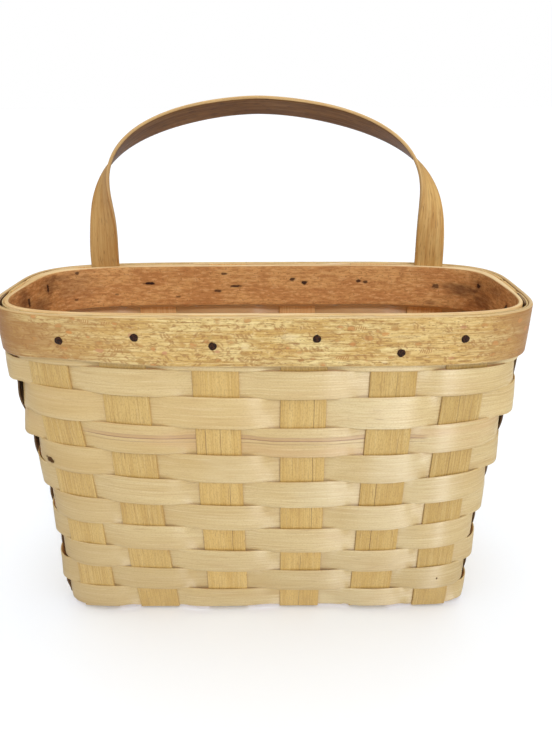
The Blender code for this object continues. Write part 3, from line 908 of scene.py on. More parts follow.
def tack_material(name):
    """Blued cut tack: near black, with brown rust on its hammered face."""
    m = Tree(name)
    tc = m.nt.nodes.new("ShaderNodeTexCoord")
    v = m.nt.nodes.new("ShaderNodeVectorMath")
    v.operation = "SCALE"
    v.inputs["Scale"].default_value = 900.0
    m.link(tc.outputs["Object"], v.inputs[0])
    n = m.noise(v.outputs[0], 3, 0.6)
    base = m.mix(m.span(n, 0.42, 0.62), (0.014, 0.007, 0.005),
                 (0.060, 0.022, 0.010))
    m.put(m.bsdf.inputs["Roughness"], m.span(n, 0.4, 0.65, 0.45, 0.75))
    m.bsdf.inputs["Metallic"].default_value = 0.1
    m.bsdf.inputs["Specular IOR Level"].default_value = 0.15
    m.bump(n, 0.0003, 0.5)
    return m.colour(base)


# ---- weavers -------------------------------------------------------------
def row_start(row):
    """The stake on the back wall where a hoop's ends meet: one that the
    hoop passes on the inside."""
    return 11.0 if (11 + row) % 2 == 1 else 12.0


# the rows climb towards the left end, and less towards the right one
CLIMB_LEFT = (0.42, 0.81, 0.88, 0.95, 1.10, 1.05, 1.02, 1.05, 0.95, 0.60,
              0.10)
CLIMB_RIGHT = (0.0, 0.35, 0.50, 0.65, 0.95, 0.95, 1.25, 0.95, 0.85, 0.25,
               0.0)
SETTLE = (1.1, -1.1, 0.0, 0.0, 0.0, -0.5, -1.1, -0.9, -1.3, -1.5, -0.5)


def turn_from(phi, at):
    """Signed distance from a place on the hoop, in stakes."""
    half = STAKES / 2
    return np.mod(np.asarray(phi, float) - at + half, STAKES) - half


def boundary(j, phi):
    """The slightly wavy line between rows j and j + 1, in mm of depth."""
    s = np.mod(phi, STAKES) * 50.0
    base = 38.65 if j == 0 else ROW_EDGES[j]
    u = turn_from(phi, 0.0)
    left = 8.5 * np.where(u > -0.9, smooth((2.7 - u) / 3.6),
                          smooth((u + 4.0) / 3.1))
    v = turn_from(phi, 5.6)
    right = 5.2 * np.where(v < 0, smooth((v + 1.7) / 1.7),
                           smooth((3.0 - v) / 3.0))
    front = smooth((u + 1.2) / 0.8) * smooth((0.7 - v) / 0.8)
    return (base + 0.26 * wander(s, 33, 57 + j, STAKES * 50.0)
            - CLIMB_LEFT[j] * left - CLIMB_RIGHT[j] * right
            + SETTLE[j] * front)


def band_rise(phi):
    """The outer band is a little narrower near its left end."""
    u = turn_from(phi, 0.0)
    return np.where(u > 0.2, 3.8 * smooth((1.7 - u) / 1.5),
                    np.where(u > -0.6, 3.8 - 2.0 * smooth((0.2 - u) / 0.8),
                             1.8 * smooth((u + 4.0) / 3.4)))


# how far a row stands out (or in) at the front corners, in mm, and how
# far its lower edge stands out over the next row there
CORNERS = {1: (2.2, 0.9), 2: (-1.5, 1.9), 3: (-0.7, -0.5), 4: (-2.2, 1.3),
           5: (0.0, -0.2), 6: (-2.2, 0.0), 7: (-0.5, -2.0), 8: (-2.8, 0.3),
           9: (0.7, -2.0), 10: (-2.4, -0.4)}
ROLL = {1: (0.6, 1.2), 2: (2.3, 1.7), 3: (3.0, 1.7), 4: (1.8, 1.7),
        5: (0.8, 2.1), 6: (1.0, 0.8), 7: (0.8, 0.8), 8: (1.0, 0.8),
        9: (0.5, 0.6), 10: (0.5, 0.0)}


def weaver(row, d_top, d_low, amp, name, material, node, crown, press=1.15,
           lap=0.0):
    """One hoop of splint, over and under the 18 stakes.  Two rows share the
    line between them; where a row floats clear of its neighbours it is a
    little wider, and covers their edges."""
    edge = 0.38
    mid = (d_top + d_low) / 2
    phi, s, total = walk(mid, 2.4, row_start(row))
    r = np.random.RandomState(900 + row)
    # each float has its own height
    lift = amp * (1 + 0.12 * r.uniform(-1, 1, STAKES))
    near = np.mod(np.rint(phi).astype(int), STAKES)
    wave = np.cos(math.pi * (phi + row))
    wave = np.tanh(press * wave) / math.tanh(press)
    off = lift[near] * wave * np.where(wave < 0, min(1.0, 1.45 / amp), 1.0)
    roll = np.zeros_like(off)
    if row in CORNERS:
        turn = np.mod(phi, STAKES)
        for mid_at, extra in zip((17.25, 5.75), CORNERS[row]):
            off = off + extra * smooth(1 - np.abs(turn - mid_at) / 0.85)
        for mid_at, extra in zip((17.25, 5.75), ROLL[row]):
            roll = roll + extra * smooth(1 - np.abs(turn - mid_at) / 0.42)
    J = 9 if d_low - d_top < 30 else 13
    q = np.linspace(-1, 1, J)
    wide = lap * np.where(wave < 0, 3.4, 1.0) * smooth(
        (np.abs(wave) - 0.12) / 0.5)
    top = (boundary(row - 1, phi) + 0.02 - wide if row
           else d_top + 0.10 * wander(s, 34, 11, total))
    low = boundary(row, phi) - 0.02 + wide
    half = (low - top) / 2 - edge
    dd = ((top + low) / 2)[:, None] + half[:, None] * q[None, :]
    x, y = plan(np.repeat(phi[:, None], J, 1), dd)
    nx, ny = plan_normal(x, y, dd)
    tilt = (0.10 * np.clip(wave, 0, 1) + roll)[:, None] * q[None, :]
    offs = off[:, None] + tilt
    C = np.stack([x + nx * offs, y + ny * offs, height(x, y, dd)], 2)
    w = d_low - d_top
    t = q * (w / 2 - edge)
    bulge = (crown * (1 - q ** 2))[None, :] * np.clip(
        0.35 + 0.65 * np.abs(wave), 0, 1)[:, None]
    bulge = bulge * np.sign(wave)[:, None] * np.abs(wave)[:, None] ** 0.5
    thick = WEAVER_T * (1 + 0.05 * wander(s, 40, 91 + row, total))[:, None]
    ob = strip(name, C, np.repeat(thick, J, 1), edge, s, t, material, True,
               total, bulge, flip=True)
    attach(ob, "root")
    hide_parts(node)
    return ob


# ---- stakes --------------------------------------------------------------
def stake_sway(i, d):
    """Stakes lean a little away from each weaver they pass."""
    rows = [(1.2 + 38.4) / 2 - 4] + [(a + b) / 2 for a, b in
                                     zip(ROW_EDGES[:-1], ROW_EDGES[1:])]
    q = np.interp(d, rows, np.arange(11))
    lean = -0.30 * np.cos(math.pi * (q + i))
    if i in (6, 17):
        # beside the front corners a stake stands out where a row passes
        # behind it
        more = 5.0 + 2.0 * smooth((d - 232.0) / 12.0)
        if i == 6:
            more = 1.0 + (more - 1.0) * smooth((d - 58.0) / 20.0)
        lean = np.where(lean > 0, more * lean, lean)
    return lean


def fold_curve(z_from, z_to, steps=9):
    a = np.linspace(0, math.pi / 2, steps + 1)[1:]
    r = z_from - z_to
    return r * (1 - np.cos(a)) * 1.25, z_from - r * np.sin(a)


def cross_stake(k):
    edge = 0.42
    W = cross_width(k)
    J = 11
    t = np.linspace(-1, 1, J) * (W / 2 - edge)
    d = np.linspace(0.6, WALL_END, 100)
    lap = STAKE_T + GAP
    i_front = k
    i_back = 9 + (5 - k)
    ragged = 0.12 * wander(d, 30, 300 + k)
    cols, lens = [], []
    centre = cross_centre(k, d)
    for j, tj in enumerate(t):
        x = centre + tj + ragged * np.sign(tj) * abs(tj) / (W / 2)
        pts = []
        for back, i in ((False, i_front), (True, i_back)):
            y = by_x(x, d, back)
            nx, ny = plan_normal(x, y, d)
            o = stake_sway(i, d) * smooth((WALL_END - d) / 12)
            pts.append(np.stack([x + nx * o, y + ny * o,
                                 height(x, y, d)], 1))
        front, back = pts
        dy, z = fold_curve(front[-1][2], BASE_Z)
        x0 = front[-1][0]
        f1 = np.stack([np.full_like(dy, x0), front[-1][1] + dy, z], 1)
        f2 = np.stack([np.full_like(dy, x0), back[-1][1] - dy, z], 1)
        y0, y1 = f1[-1][1], f2[-1][1]
        yy = np.linspace(y0, y1, 48)[1:-1]
        zz = np.full_like(yy, BASE_Z)
        crest = np.zeros_like(yy)
        for m in range(3):
            up = 1 if (k + m) % 2 == 0 else -1
            yc = (m - 1) * SIDE_STAKE_PITCH
            lead = SIDE_STAKE_W / 2 + 0.9
            gap_in = SIDE_STAKE_PITCH / 2
            dist = np.abs(yy - yc)
            if m == 1:
                wgt = smooth((gap_in - dist) / (gap_in - lead))
            else:
                outer = (yy - yc) * (m - 1) > 0
                wgt = np.where(outer, smooth((24.0 - dist) / (24.0 - lead)),
                               smooth((gap_in - dist) / (gap_in - lead)))
            crest += up * wgt
        zz = zz + lap * crest
        base = np.stack([np.full_like(yy, x0), yy, zz], 1)
        cols.append(np.concatenate([front, f1, base, f2[::-1], back[::-1]]))
    C = np.stack(cols, 1)
    mid = C[:, J // 2]
    s = np.concatenate([[0], np.cumsum(np.linalg.norm(
        np.diff(mid, axis=0), axis=1))])
    ob = strip("stake_splint_%d" % (k + 1), C, STAKE_T, edge, s, t,
               STAKE_MATS[k], False)
    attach(ob, "root")
    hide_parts("cross_stake_%d" % (k + 1))
    return ob


def lengthwise_stake(m):
    edge = 0.42
    W = SIDE_STAKE_W
    J = 9
    t = np.linspace(-1, 1, J) * (W / 2 - edge)
    d = np.linspace(0.6, WALL_END, 100)
    y0 = (m - 1) * SIDE_STAKE_PITCH
    i_right, i_left = 6 + m, 17 - m
    ragged = 0.1 * wander(d, 28, 340 + m)
    cols = []
    for tj in t:
        y = y0 + tj + ragged * np.sign(tj) * abs(tj) / (W / 2)
        pts = []
        for right, i in ((False, i_left), (True, i_right)):
            x = by_y(y, d, right)
            nx, ny = plan_normal(x, y, d)
            o = stake_sway(i, d) * smooth((WALL_END - d) / 12)
            pts.append(np.stack([x + nx * o, y + ny * o,
                                 height(x, y, d)], 1))
        left, right = pts
        dx, z = fold_curve(left[-1][2], BASE_Z)
        yb = left[-1][1]
        f1 = np.stack([left[-1][0] + dx, np.full_like(dx, yb), z], 1)
        f2 = np.stack([right[-1][0] - dx, np.full_like(dx, right[-1][1]), z],
                      1)
        xx = np.linspace(f1[-1][0], f2[-1][0], 110)[1:-1]
        base = np.stack([xx, np.interp(xx, [xx[0], xx[-1]],
                                       [yb, right[-1][1]]),
                         np.full_like(xx, BASE_Z)], 1)
        cols.append(np.concatenate([left, f1, base, f2[::-1], right[::-1]]))
    C = np.stack(cols, 1)
    mid = C[:, J // 2]
    s = np.concatenate([[0], np.cumsum(np.linalg.norm(
        np.diff(mid, axis=0), axis=1))])
    ob = strip("base_splint_%d" % (m + 1), C, STAKE_T, edge, s, t,
               SIDE_MATS[m], False, flip=True)
    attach(ob, "root")
    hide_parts("lengthwise_stake_%d" % (m + 1))
    return ob


# ---- rim bands -----------------------------------------------------------
def band(name, node, slot, material, offset, flip, seed, start, grow=None,
         rise=None):
    edge = 0.85
    phi, s, total = walk(17.5, 2.2, start)
    J = 15
    q = np.linspace(-1, 1, J)
    top = 0.0 + 0.16 * (1 + wander(s, 70, seed, total)) * 0.5
    low = BAND_HEIGHT - 0.22 * (1 + wander(s, 46, seed + 1, total)) * 0.5
    if rise:
        low = low - rise(phi)
    half = (low - top) / 2 - edge
    dd = ((top + low) / 2)[:, None] + half[:, None] * q[None, :]
    x, y = plan(np.repeat(phi[:, None], J, 1), dd)
    nx, ny = plan_normal(x, y, dd)
    offs = offset(y)
    more = grow(x, y) if grow else np.zeros_like(x)
    offs = offs + more / 2
    C = np.stack([x + nx * offs, y + ny * offs, height(x, y, dd)], 2)
    t = q * (BAND_HEIGHT / 2 - edge)
    soft = 0.05 * wander(s, 26, seed + 2, total)[:, None] \
        * np.cos(q * 2.1 + seed)[None, :]
    thick = (BAND_T + 0.32 + 0.05 * wander(s, 60, seed + 3, total))[:, None]
    ob = strip(name, C, np.repeat(thick, J, 1) + more, edge, s, t, material,
               True, total, soft, flip=flip)
    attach(ob, "root")
    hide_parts(node)
    return ob


# ---- handle --------------------------------------------------------------
def handle_foot(side):
    x = HANDLE_X + side * HANDLE_HALF_SPAN + HANDLE_KICK[side]
    px = x
    for _ in range(4):
        y = float(by_x(px, 0.0, True))
        n = plan_normal(px, y, 0.0)
        px = x + float(n[0]) * LEG_OFF
    return np.array([x, y - float(n[1]) * LEG_OFF]), n


def handle_side(side, count):
    foot, wall_n = handle_foot(side)
    middle = (foot[1] + handle_foot(-side)[0][1]) / 2
    px, pz = HANDLE_CURVE
    a = np.linspace(0, math.pi / 2, 2001)
    raw = np.stack([HANDLE_HALF_SPAN * np.sin(a) ** (2 / px),
                    HANDLE_TOP * np.clip(np.cos(a), 0, 1) ** (2 / pz)], 1)
    leg = np.linspace(0, LEG_FOOT, 101)[1:]
    raw = np.concatenate([raw, np.stack([np.full(100, HANDLE_HALF_SPAN),
                                         -leg], 1)])
    run = np.concatenate([[0], np.cumsum(np.hypot(*np.diff(raw,
                                                           axis=0).T))])

    def at(s):
        x = np.interp(s, run, raw[:, 0])
        z = np.interp(s, run, raw[:, 1])
        lift = np.clip((z - 30.0) / (HANDLE_TOP - 30.0), 0, 1)
        sway = np.clip((z + 34.0) / (HANDLE_TOP + 34.0), 0, 1)
        return np.stack([side * x + HANDLE_X
                         + HANDLE_KICK[side] * smooth((45.0 - z) / 45.0)
                         + HANDLE_SWAY * np.where(z > 0, sway ** 3, 0.0),
                         foot[1] + (middle - foot[1]) * smooth(lift)
                         + HANDLE_BACK * lift ** 2, z], 1)

    s = np.linspace(0, run[-1], count + 1)
    c = at(s)
    tan = at(np.minimum(s + 0.8, run[-1])) - at(np.maximum(s - 0.8, 0))
    tan /= np.linalg.norm(tan, axis=1, keepdims=True)
    tan[0] = (side, 0, 0)
    tan[c[:, 2] < 1.0] = (0, 0, -1)
    tan = tan * side
    outward = np.stack([-tan[:, 2], np.zeros(len(s)), tan[:, 0]], 1)
    outward /= np.linalg.norm(outward, axis=1, keepdims=True)
    w = np.cross(tan, outward)
    w /= np.linalg.norm(w, axis=1, keepdims=True)
    outward = np.cross(w, tan)
    u = np.clip((TWIST_FROM - c[:, 2]) / (TWIST_FROM - TWIST_TO), 0, 1)
    u = smooth(u ** TWIST_POWER)
    end = math.pi / 2 + math.asin(abs(float(wall_n[0])))
    psi = (-HANDLE_TILT + (end + HANDLE_TILT) * u)[:, None]
    face = outward * np.cos(psi) + w * np.sin(psi)
    across = np.cross(tan, face)
    return c + np.array([0, 0, RIM_HEIGHT]), across, face


def make_handle(material):
    left, right = handle_side(-1, 130), handle_side(1, 130)
    c = np.concatenate([left[0][::-1], right[0][1:]])
    across = np.concatenate([left[1][::-1], right[1][1:]])
    face = np.concatenate([left[2][::-1], right[2][1:]])
    s = np.concatenate([[0], np.cumsum(np.linalg.norm(np.diff(c, axis=0),
                                                      axis=1))])
    edge = 0.95
    J = 11
    q = np.linspace(-1, 1, J)
    half = HANDLE_W / 2 - edge - 0.12 * (1 + wander(s, 55, 701))
    C = c[:, None, :] + across[:, None, :] * (half[:, None] * q)[..., None]
    t = q * (HANDLE_W / 2 - edge)
    thick = (HANDLE_T - 0.1 + 0.08 * wander(s, 60, 703))[:, None]
    ob = strip("handle_strip", C, np.repeat(thick, J, 1), edge, s, t,
               material, False, flip=True)
    me = ob.data
    # which face is which: side is +1 on the face over the arch
    z = np.array([v.co.z for v in me.vertices]) / MM
    # where the painted shade under the arch applies: its upper part, by height
    painted_shade_zone = me.attributes.new("painted_shade_zone", "FLOAT", "POINT")
    painted_shade_zone.data.foreach_set("value", smooth(
        (z - RIM_HEIGHT - 38.0) / 40.0).astype(np.float32))
    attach(ob, "root")
    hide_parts("handle")
    return ob


# ---- tacks ---------------------------------------------------------------
def tack(name, node, x, y, d, material, seed):
    """Head of a cut tack, flattened by the hammer, on a short shank."""
    nx, ny = (float(v) for v in plan_normal(x, y, d))
    out = Vector((nx, ny, 0))
    rot = out.to_track_quat("Z", "Y").to_matrix()
    r = np.random.RandomState(seed)
    n = 28
    ang = np.arange(n) / n * 2 * math.pi
    lump = 1 + 0.035 * np.cos(ang * 3 + r.uniform(0, 6)) \
        + 0.030 * np.cos(ang * 5 + r.uniform(0, 6)) \
        + 0.018 * np.cos(ang * 8 + r.uniform(0, 6))
    rings = [(0.62, -2.6, 0), (0.70, -0.15, 0), (2.62, -0.12, 1),
             (2.76, 0.10, 1), (2.72, 0.34, 1), (2.42, 0.58, 1),
             (1.86, 0.76, 1), (1.15, 0.86, 1), (0.55, 0.90, 1)]
    tilt = r.uniform(-0.05, 0.05, 2)
    verts = []
    for rad, z, lumpy in rings:
        rr = rad * (lump if lumpy else np.ones(n))
        px, py = rr * np.cos(ang), rr * np.sin(ang)
        pz = z + (tilt[0] * px + tilt[1] * py if lumpy and z > 0.2 else 0)
        if lumpy and z > 0.5:
            pz = pz + 0.07 * np.cos(px * 1.7 + r.uniform(0, 6)) \
                * np.cos(py * 1.9 + r.uniform(0, 6))
        verts.append(np.stack([px, py, pz + np.zeros(n)], 1))
    verts = np.concatenate(verts)
    verts = np.concatenate([verts, [[0, 0, -2.9]],
                            [[0, 0, 0.90 + r.uniform(-.05, .05)]]])
    faces = []
    for a in range(len(rings) - 1):
        for i in range(n):
            j = (i + 1) % n
            faces.append((a * n + i, a * n + j, (a + 1) * n + j,
                          (a + 1) * n + i))
    low, top = len(verts) - 2, len(verts) - 1
    last = (len(rings) - 1) * n
    for i in range(n):
        j = (i + 1) % n
        faces.append((low, j, i))
        faces.append((top, last + i, last + j))
    R = np.array(rot)
    seat = np.array([x + nx * (RIM_OFF + 0.02), y + ny * (RIM_OFF + 0.02),
                     float(height(x, y, d))])
    world = to_world(verts @ R.T + seat)
    uvs = [(verts[v][0] * MM, verts[v][1] * MM) for f in faces for v in f]
    ob = finish_mesh(name, world, faces, uvs, material, None, 60)
    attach(ob, "root")
    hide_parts(node)
    return ob


# ---- where things lie along a hoop ---------------------------------------
def hoop_at(mid, wall, x, start=11.0):
    """Distance along a hoop at depth mid where it passes x on the front or
    back wall."""
    phi, s, total = walk(mid, 0.5, start)
    px, py = plan(phi, np.full(len(phi), float(mid)))
    miss = np.abs(px - x) + np.where((py < 0) == (wall == "front"), 0, 1e3)
    return float(s[int(np.argmin(miss))])


# ---- build ---------------------------------------------------------------
row_mid = [(a + b) / 2 for a, b in zip(ROW_EDGES[:-1], ROW_EDGES[1:])]

RED = (0.48, 0.27, 0.115)
# where painted sheen lies on the front of each row: x, half length, strength
PAINTED_SHEEN = {1: [(78.0, 26, 0.16)], 2: [(72.0, 42, 0.22)],
         3: [(118.0, 26, 0.22)], 4: [(-26.0, 26, 0.24), (96.0, 30, 0.24)],
         5: [(46.0, 34, 0.26), (120.0, 32, 0.22)], 6: [(82.0, 28, 0.14)],
         7: [(98.0, 28, 0.20)], 8: [(60.0, 26, 0.16)], 10: [(60, 40, 0.3)]}
weaver(0, 0.5, 38.65, 1.16, "rim_splint", weaver_material("splint_00", 3.1, 0.92),
       "rim_weaver", 0.0, 2.5)
for row in range(1, 11):
    streak, spots, warm = None, [], 0.0
    mid = row_mid[row - 1]
    start = row_start(row)
    if row == 3:
        streak = (-1.4, (hoop_at(mid, "front", -152, start),
                         hoop_at(mid, "front", 118, start)), RED, 0.8)
        warm = 0.35
    if row == 4:
        spots.append((hoop_at(mid, "front", -157, start), 5.6, 5.8, 2.9,
                      (0.150, 0.062, 0.014)))
    if row == 9:
        spots.append((hoop_at(mid, "front", 138.0, start), 0.5, 1.0, 1.5,
                      (0.12, 0.07, 0.03)))
    # the rows are darker towards the base: painted shade, with some tone that
    # differs from row to row
    tone = (0.91, 0.91, 0.875, 0.855, 0.865, 0.85, 0.85, 0.825, 0.80,
            0.845)[row - 1]
    painted_sheen = [(hoop_at(mid, "front", x, start), reach, amount)
             for x, reach, amount in PAINTED_SHEEN.get(row, [])]
    mat = weaver_material("splint_%02d" % row, 20.0 * row, tone, streak,
                          spots, warm, painted_sheen,
                          (0.0, 0.18, 0.22, 0.26, 0.0, 0.06, 0.0, 0.10,
                           0.17, 0.04)[row - 1])
    weaver(row, ROW_EDGES[row - 1], ROW_EDGES[row], 1.85,
           "weaver_splint_%02d" % row, mat, "weaver_row_%02d" % row, 0.22,
           1.15, 0.5)

# thin splits in the stakes: t across, from s to s along, half width, dark
CRACKS = [
    [(6.0, 60, 130, 0.16, 0.5)],
    [(-9.5, 70, 120, 0.14, 0.5), (4.0, 150, 215, 0.14, 0.45)],
    [(-9.0, 80, 112, 0.28, 0.8), (1.5, 78, 108, 0.24, 0.7),
     (6.6, 126, 205, 0.26, 0.8), (9.3, 60, 90, 0.15, 0.4)],
    [(7.4, 52, 185, 0.26, 0.8), (-0.2, 195, 262, 0.26, 0.75),
     (-7.2, 90, 125, 0.16, 0.5)],
    [(-4.6, 118, 200, 0.30, 0.9), (2.5, 38, 66, 0.22, 0.7),
     (7.5, 88, 112, 0.2, 0.6)],
    [(-2.0, 48, 128, 0.2, 0.65), (7.0, 60, 95, 0.16, 0.5)],
]
STAKE_MATS = [stake_material("stake_%d" % (k + 1), 7.0 + 13 * k, CRACKS[k],
                             (0.80, 0.81, 0.88, 0.865, 0.83, 0.78)[k])
              for k in range(6)]
# the last number puts painted shade on the edges of the front side stakes only
SIDE_MATS = [stake_material("base_stake_%d" % (m + 1), 151.0 + 9 * m,
                            [(-5.0 + 4 * m, 60, 160, 0.18, 0.6)], 0.85,
                            (0.9, 0.0, 0.0)[m])
             for m in range(3)]
for k in range(6):
    cross_stake(k)
for m in range(3):
    lengthwise_stake(m)



def on_rim(marks):
    """Marks of the outer band given by x and depth on its front."""
    return [(hoop_at(17.5, "front", m[0]), m[1] - 17.5) + m[2:]
            for m in marks]


ORANGE, PINK, PALE, BROWN = ((0.56, 0.24, 0.065), (0.53, 0.255, 0.125),
                             (0.82, 0.67, 0.38), (0.31, 0.155, 0.055))
RIM_BLOBS = on_rim([
    (-126.1, 12.7, 2.6, 1.6, ORANGE, 0.85),
    (-106.9, 25.5, 3.4, 1.8, PINK, 0.7),
    (-100.8, 19.2, 2.2, 1.4, BROWN, 0.5),
    (-64.0, 25.0, 2.2, 1.5, PINK, 0.8),
    (-83.8, 12.9, 3.6, 1.6, (0.50, 0.235, 0.12), 0.75),
    (-56.6, 5.5, 1.6, 1.2, BROWN, 0.6),
    (-51.6, 26.5, 1.7, 1.1, BROWN, 0.65),
    (-43.0, 25.8, 1.7, 1.1, BROWN, 0.6),
    (-135.1, 24.7, 1.6, 1.3, BROWN, 0.65),
    (-114.5, 23.4, 1.5, 1.1, BROWN, 0.6),
    (153.3, 10.6, 1.9, 1.2, BROWN, 0.6),
    (25.0, 29.8, 1.6, 1.0, BROWN, 0.6),
    (-29.7, 23.8, 2.2, 1.3, PINK, 0.7),
    (-33.8, 13.9, 1.8, 1.4, (0.50, 0.35, 0.12), 0.6),
    (-11.2, 20.3, 3.4, 2.6, PALE, 0.35), (18.0, 13.5, 7.0, 3.0, PALE, 0.35),
    (80.0, 11.6, 2.8, 1.5, ORANGE, 0.65),
    (130.9, 7.7, 2.6, 1.4, PINK, 0.6),
    (125.6, 29.5, 2.4, 1.3, PINK, 0.6),
    (81.5, 31.5, 2.6, 1.0, PALE, 0.5),
    (22.3, 18.4, 2.4, 1.3, BROWN, 0.6),
    (-12.1, 6.4, 2.6, 0.7, BROWN, 0.7)])
RIM_STROKES = on_rim([
    (-96.2, 24.2, 3.4, 1.6, 3), (-154.4, 22.4, 3.6, 1.5, 5),
    (52.8, 28.5, 3.0, 1.5, 6), (63.5, 7.4, 3.0, 1.4, 7),
    (-114.5, 3.8, 2.8, 1.4, 5), (-101.1, 4.6, 3.0, 1.5, 4),
    (108.0, 24.0, 3.0, 1.4, 6), (12.0, 8.0, 2.8, 1.3, 6)])
band("rim_band_outside", "rim_outer_band", "rim_wood",
     rim_material("rim_wood", 5.0, RIM_BLOBS, RIM_STROKES),
     lambda y: np.full_like(y, RIM_OFF - 0.05 - (BAND_T + 0.4) / 2), True,
     500, 11.0, None, band_rise)


INNER_START = 2.5


# dark marks and stains of the inner band: distance along the hoop, depth,
# half length, half height, strength
INNER_MARKS = [
    (561.0, 15.0, 5.5, 1.5, 1.0), (496.5, 7.0, 3.2, 1.2, 0.75),
    (486.5, 18.0, 6.0, 1.1, 0.9), (502.5, 22.0, 3.6, 1.3, 0.75),
    (439.0, 12.0, 2.6, 1.7, 0.85), (428.5, 15.0, 3.0, 1.8, 0.95),
    (382.0, 13.5, 2.2, 1.5, 0.85), (376.5, 14.5, 2.4, 1.4, 0.8),
    (658.0, 11.5, 1.5, 4.6, 0.95), (690.0, 13.5, 2.2, 3.6, 0.9),
    (622.0, 3.5, 2.0, 1.6, 0.7), (626.0, 26.0, 2.4, 1.2, 0.6),
    (315.5, 16.5, 3.4, 2.6, 0.7), (271.0, 11.0, 3.4, 2.0, 0.95),
    (221.5, 15.5, 3.4, 4.6, 1.0), (213.0, 18.5, 1.6, 2.2, 0.9),
    (537.0, 27.0, 2.4, 0.9, 0.6), (590.0, 24.0, 1.8, 0.9, 0.5)]
INNER_STAINS = [
    (292.0, 17.5, 30, 8.0, 0.74), (270.0, 10.0, 13, 5.5, 0.50),
    (262.0, 22.0, 26, 13, 0.58), (245.0, 8.0, 16, 9, 0.35),
    (318.0, 31.5, 9, 3.0, 0.5), (655.0, 9.0, 18, 10, 0.66),
    (674.0, 22.0, 26, 13, 0.66), (640.0, 6.0, 12, 5, 0.4),
    (697.0, 12.0, 14, 16, 0.72), (632.0, 14.0, 40, 22, 0.34)]
marks, stains = ([(s0, d - 17.5, rs, rt, dark)
                  for s0, d, rs, rt, dark in group]
                 for group in (INNER_MARKS, INNER_STAINS))


def inner_offset(y):
    return -(INNER_FRONT - 0.2 + BAND_T / 2
             + (INNER_BACK - INNER_FRONT) * smooth((y + 20.0) / 65.0))


def inner_grow(x, y):
    return (0.88 * (INNER_BACK - INNER_FRONT) * smooth((y + 20.0) / 65.0)
            * smooth((np.abs(x) - 153.0) / 12.0))


band("rim_band_inside", "rim_inner_band", "inner_rim_wood",
     inner_rim_material("inner_rim_wood", 9.0, marks, stains),
     inner_offset, False, 600, INNER_START, inner_grow)

make_handle(handle_material("handle_wood", 17.0))

TACK = tack_material("tack_metal")
seed = 1
for i, (x, d) in enumerate(TACKS_FRONT):
    seed += 1
    tack("tack_head_front_%d" % (i + 1), "tack_front_%d" % (i + 1), x,
         float(by_x(x, d, False)), d, TACK, seed)
for i, (x, d) in enumerate(TACKS_BACK):
    seed += 1
    tack("tack_head_back_%d" % (i + 1), "tack_back_%d" % (i + 1), x,
         float(by_x(x, d, True)), d, TACK, seed)
for i, (y, d) in enumerate(TACKS_SIDE):
    seed += 2
    tack("tack_head_right_%d" % (i + 1), "tack_right_%d" % (i + 1),
         float(by_y(np.array(y), d, True)), y, d, TACK, seed)
    tack("tack_head_left_%d" % (i + 1), "tack_left_%d" % (i + 1),
         float(by_y(np.array(-y), d, False)), -y, d, TACK, seed + 1)


# ---- floor, light and camera ----------------------------------------------
def make_floor():
    me = bpy.data.meshes.new("floor")
    r = 30.0
    me.from_pydata([(-r, -r, 0), (r, -r, 0), (r, r, 0), (-r, r, 0)], [],
                   [(0, 1, 2, 3)])
    ob = bpy.data.objects.new("floor", me)
    bpy.context.scene.collection.objects.link(ob)
    mat = bpy.data.materials.new("floor")
    mat.use_nodes = True
    b = mat.node_tree.nodes["Principled BSDF"]
    b.inputs["Base Color"].default_value = (0.925, 0.955, 0.998, 1)
    b.inputs["Roughness"].default_value = 0.9
    b.inputs["Specular IOR Level"].default_value = 0.1
    me.materials.append(mat)


make_floor()

scene = bpy.context.scene
scene.view_settings.view_transform = "Standard"
scene.view_settings.look = "None"

SKY_TOP, SKY_LOW = 1.5, 0.15
world = bpy.data.worlds.new("studio")
scene.world = world
world.use_nodes = True
wn = world.node_tree
bg = wn.nodes["Background"]
tc = wn.nodes.new("ShaderNodeTexCoord")
sep = wn.nodes.new("ShaderNodeSeparateXYZ")
wn.links.new(tc.outputs["Generated"], sep.inputs[0])
rampn = wn.nodes.new("ShaderNodeValToRGB")
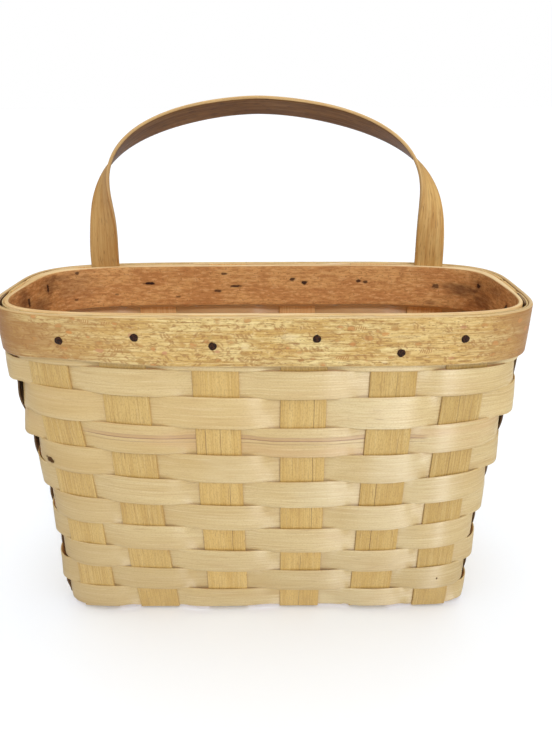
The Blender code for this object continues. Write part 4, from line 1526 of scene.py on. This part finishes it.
# a large soft light overhead; the walls of the room give less
wn.links.new(sep.outputs["Z"], rampn.inputs[0])
cr = rampn.color_ramp
cr.interpolation = "EASE"
cr.elements[0].position = 0.45
cr.elements[0].color = (SKY_LOW, SKY_LOW, SKY_LOW, 1)
cr.elements[1].position = 0.85
cr.elements[1].color = (1.0, 1.0, 1.0, 1)
wn.links.new(rampn.outputs[0], bg.inputs["Color"])
bg.inputs["Strength"].default_value = SKY_TOP
# the backdrop behind the floor is white
path = wn.nodes.new("ShaderNodeLightPath")
plain = wn.nodes.new("ShaderNodeBackground")
plain.inputs["Color"].default_value = (1, 1, 1, 1)
both = wn.nodes.new("ShaderNodeMixShader")
wn.links.new(path.outputs["Is Camera Ray"], both.inputs[0])
wn.links.new(bg.outputs[0], both.inputs[1])
wn.links.new(plain.outputs[0], both.inputs[2])
wn.links.new(both.outputs[0], wn.nodes["World Output"].inputs["Surface"])


def sun(name, azimuth, elevation, strength, angle, colour=(1, 1, 1)):
    """Azimuth is to the right of the front, as the camera stands."""
    li = bpy.data.lights.new(name, "SUN")
    li.energy = strength
    li.angle = math.radians(angle)
    li.color = colour
    ob = bpy.data.objects.new(name, li)
    bpy.context.scene.collection.objects.link(ob)
    a, e = math.radians(azimuth), math.radians(elevation)
    to = Vector((math.sin(a) * math.cos(e), -math.cos(a) * math.cos(e),
                 math.sin(e)))
    ob.rotation_mode = "QUATERNION"
    ob.rotation_quaternion = to.to_track_quat("Z", "Y")
    return ob


sun("key", 21, 38, 0.30 * math.pi, 9)
sun("fill", 24, 16, 0.13 * math.pi, 9)

cam_data = bpy.data.cameras.new("camera")
cam_data.sensor_width = 36.0
cam_data.sensor_fit = "AUTO"
cam_data.lens = 600.0 / 733.0 * 36.0
cam_data.clip_start, cam_data.clip_end = 0.01, 200.0
cam = bpy.data.objects.new("camera", cam_data)
scene.collection.objects.link(cam)
cam.matrix_world = (Matrix.Translation((0.0091, (-73.3 - 364.7 + PLAN_Y) * MM,
                                        (RIM_HEIGHT + 127.6) * MM))
                    @ Matrix.Rotation(math.pi / 2 - 0.418, 4, "X")
                    @ Matrix.Rotation(-0.0045, 4, "Z"))
scene.camera = cam

bpy.context.view_layer.update()
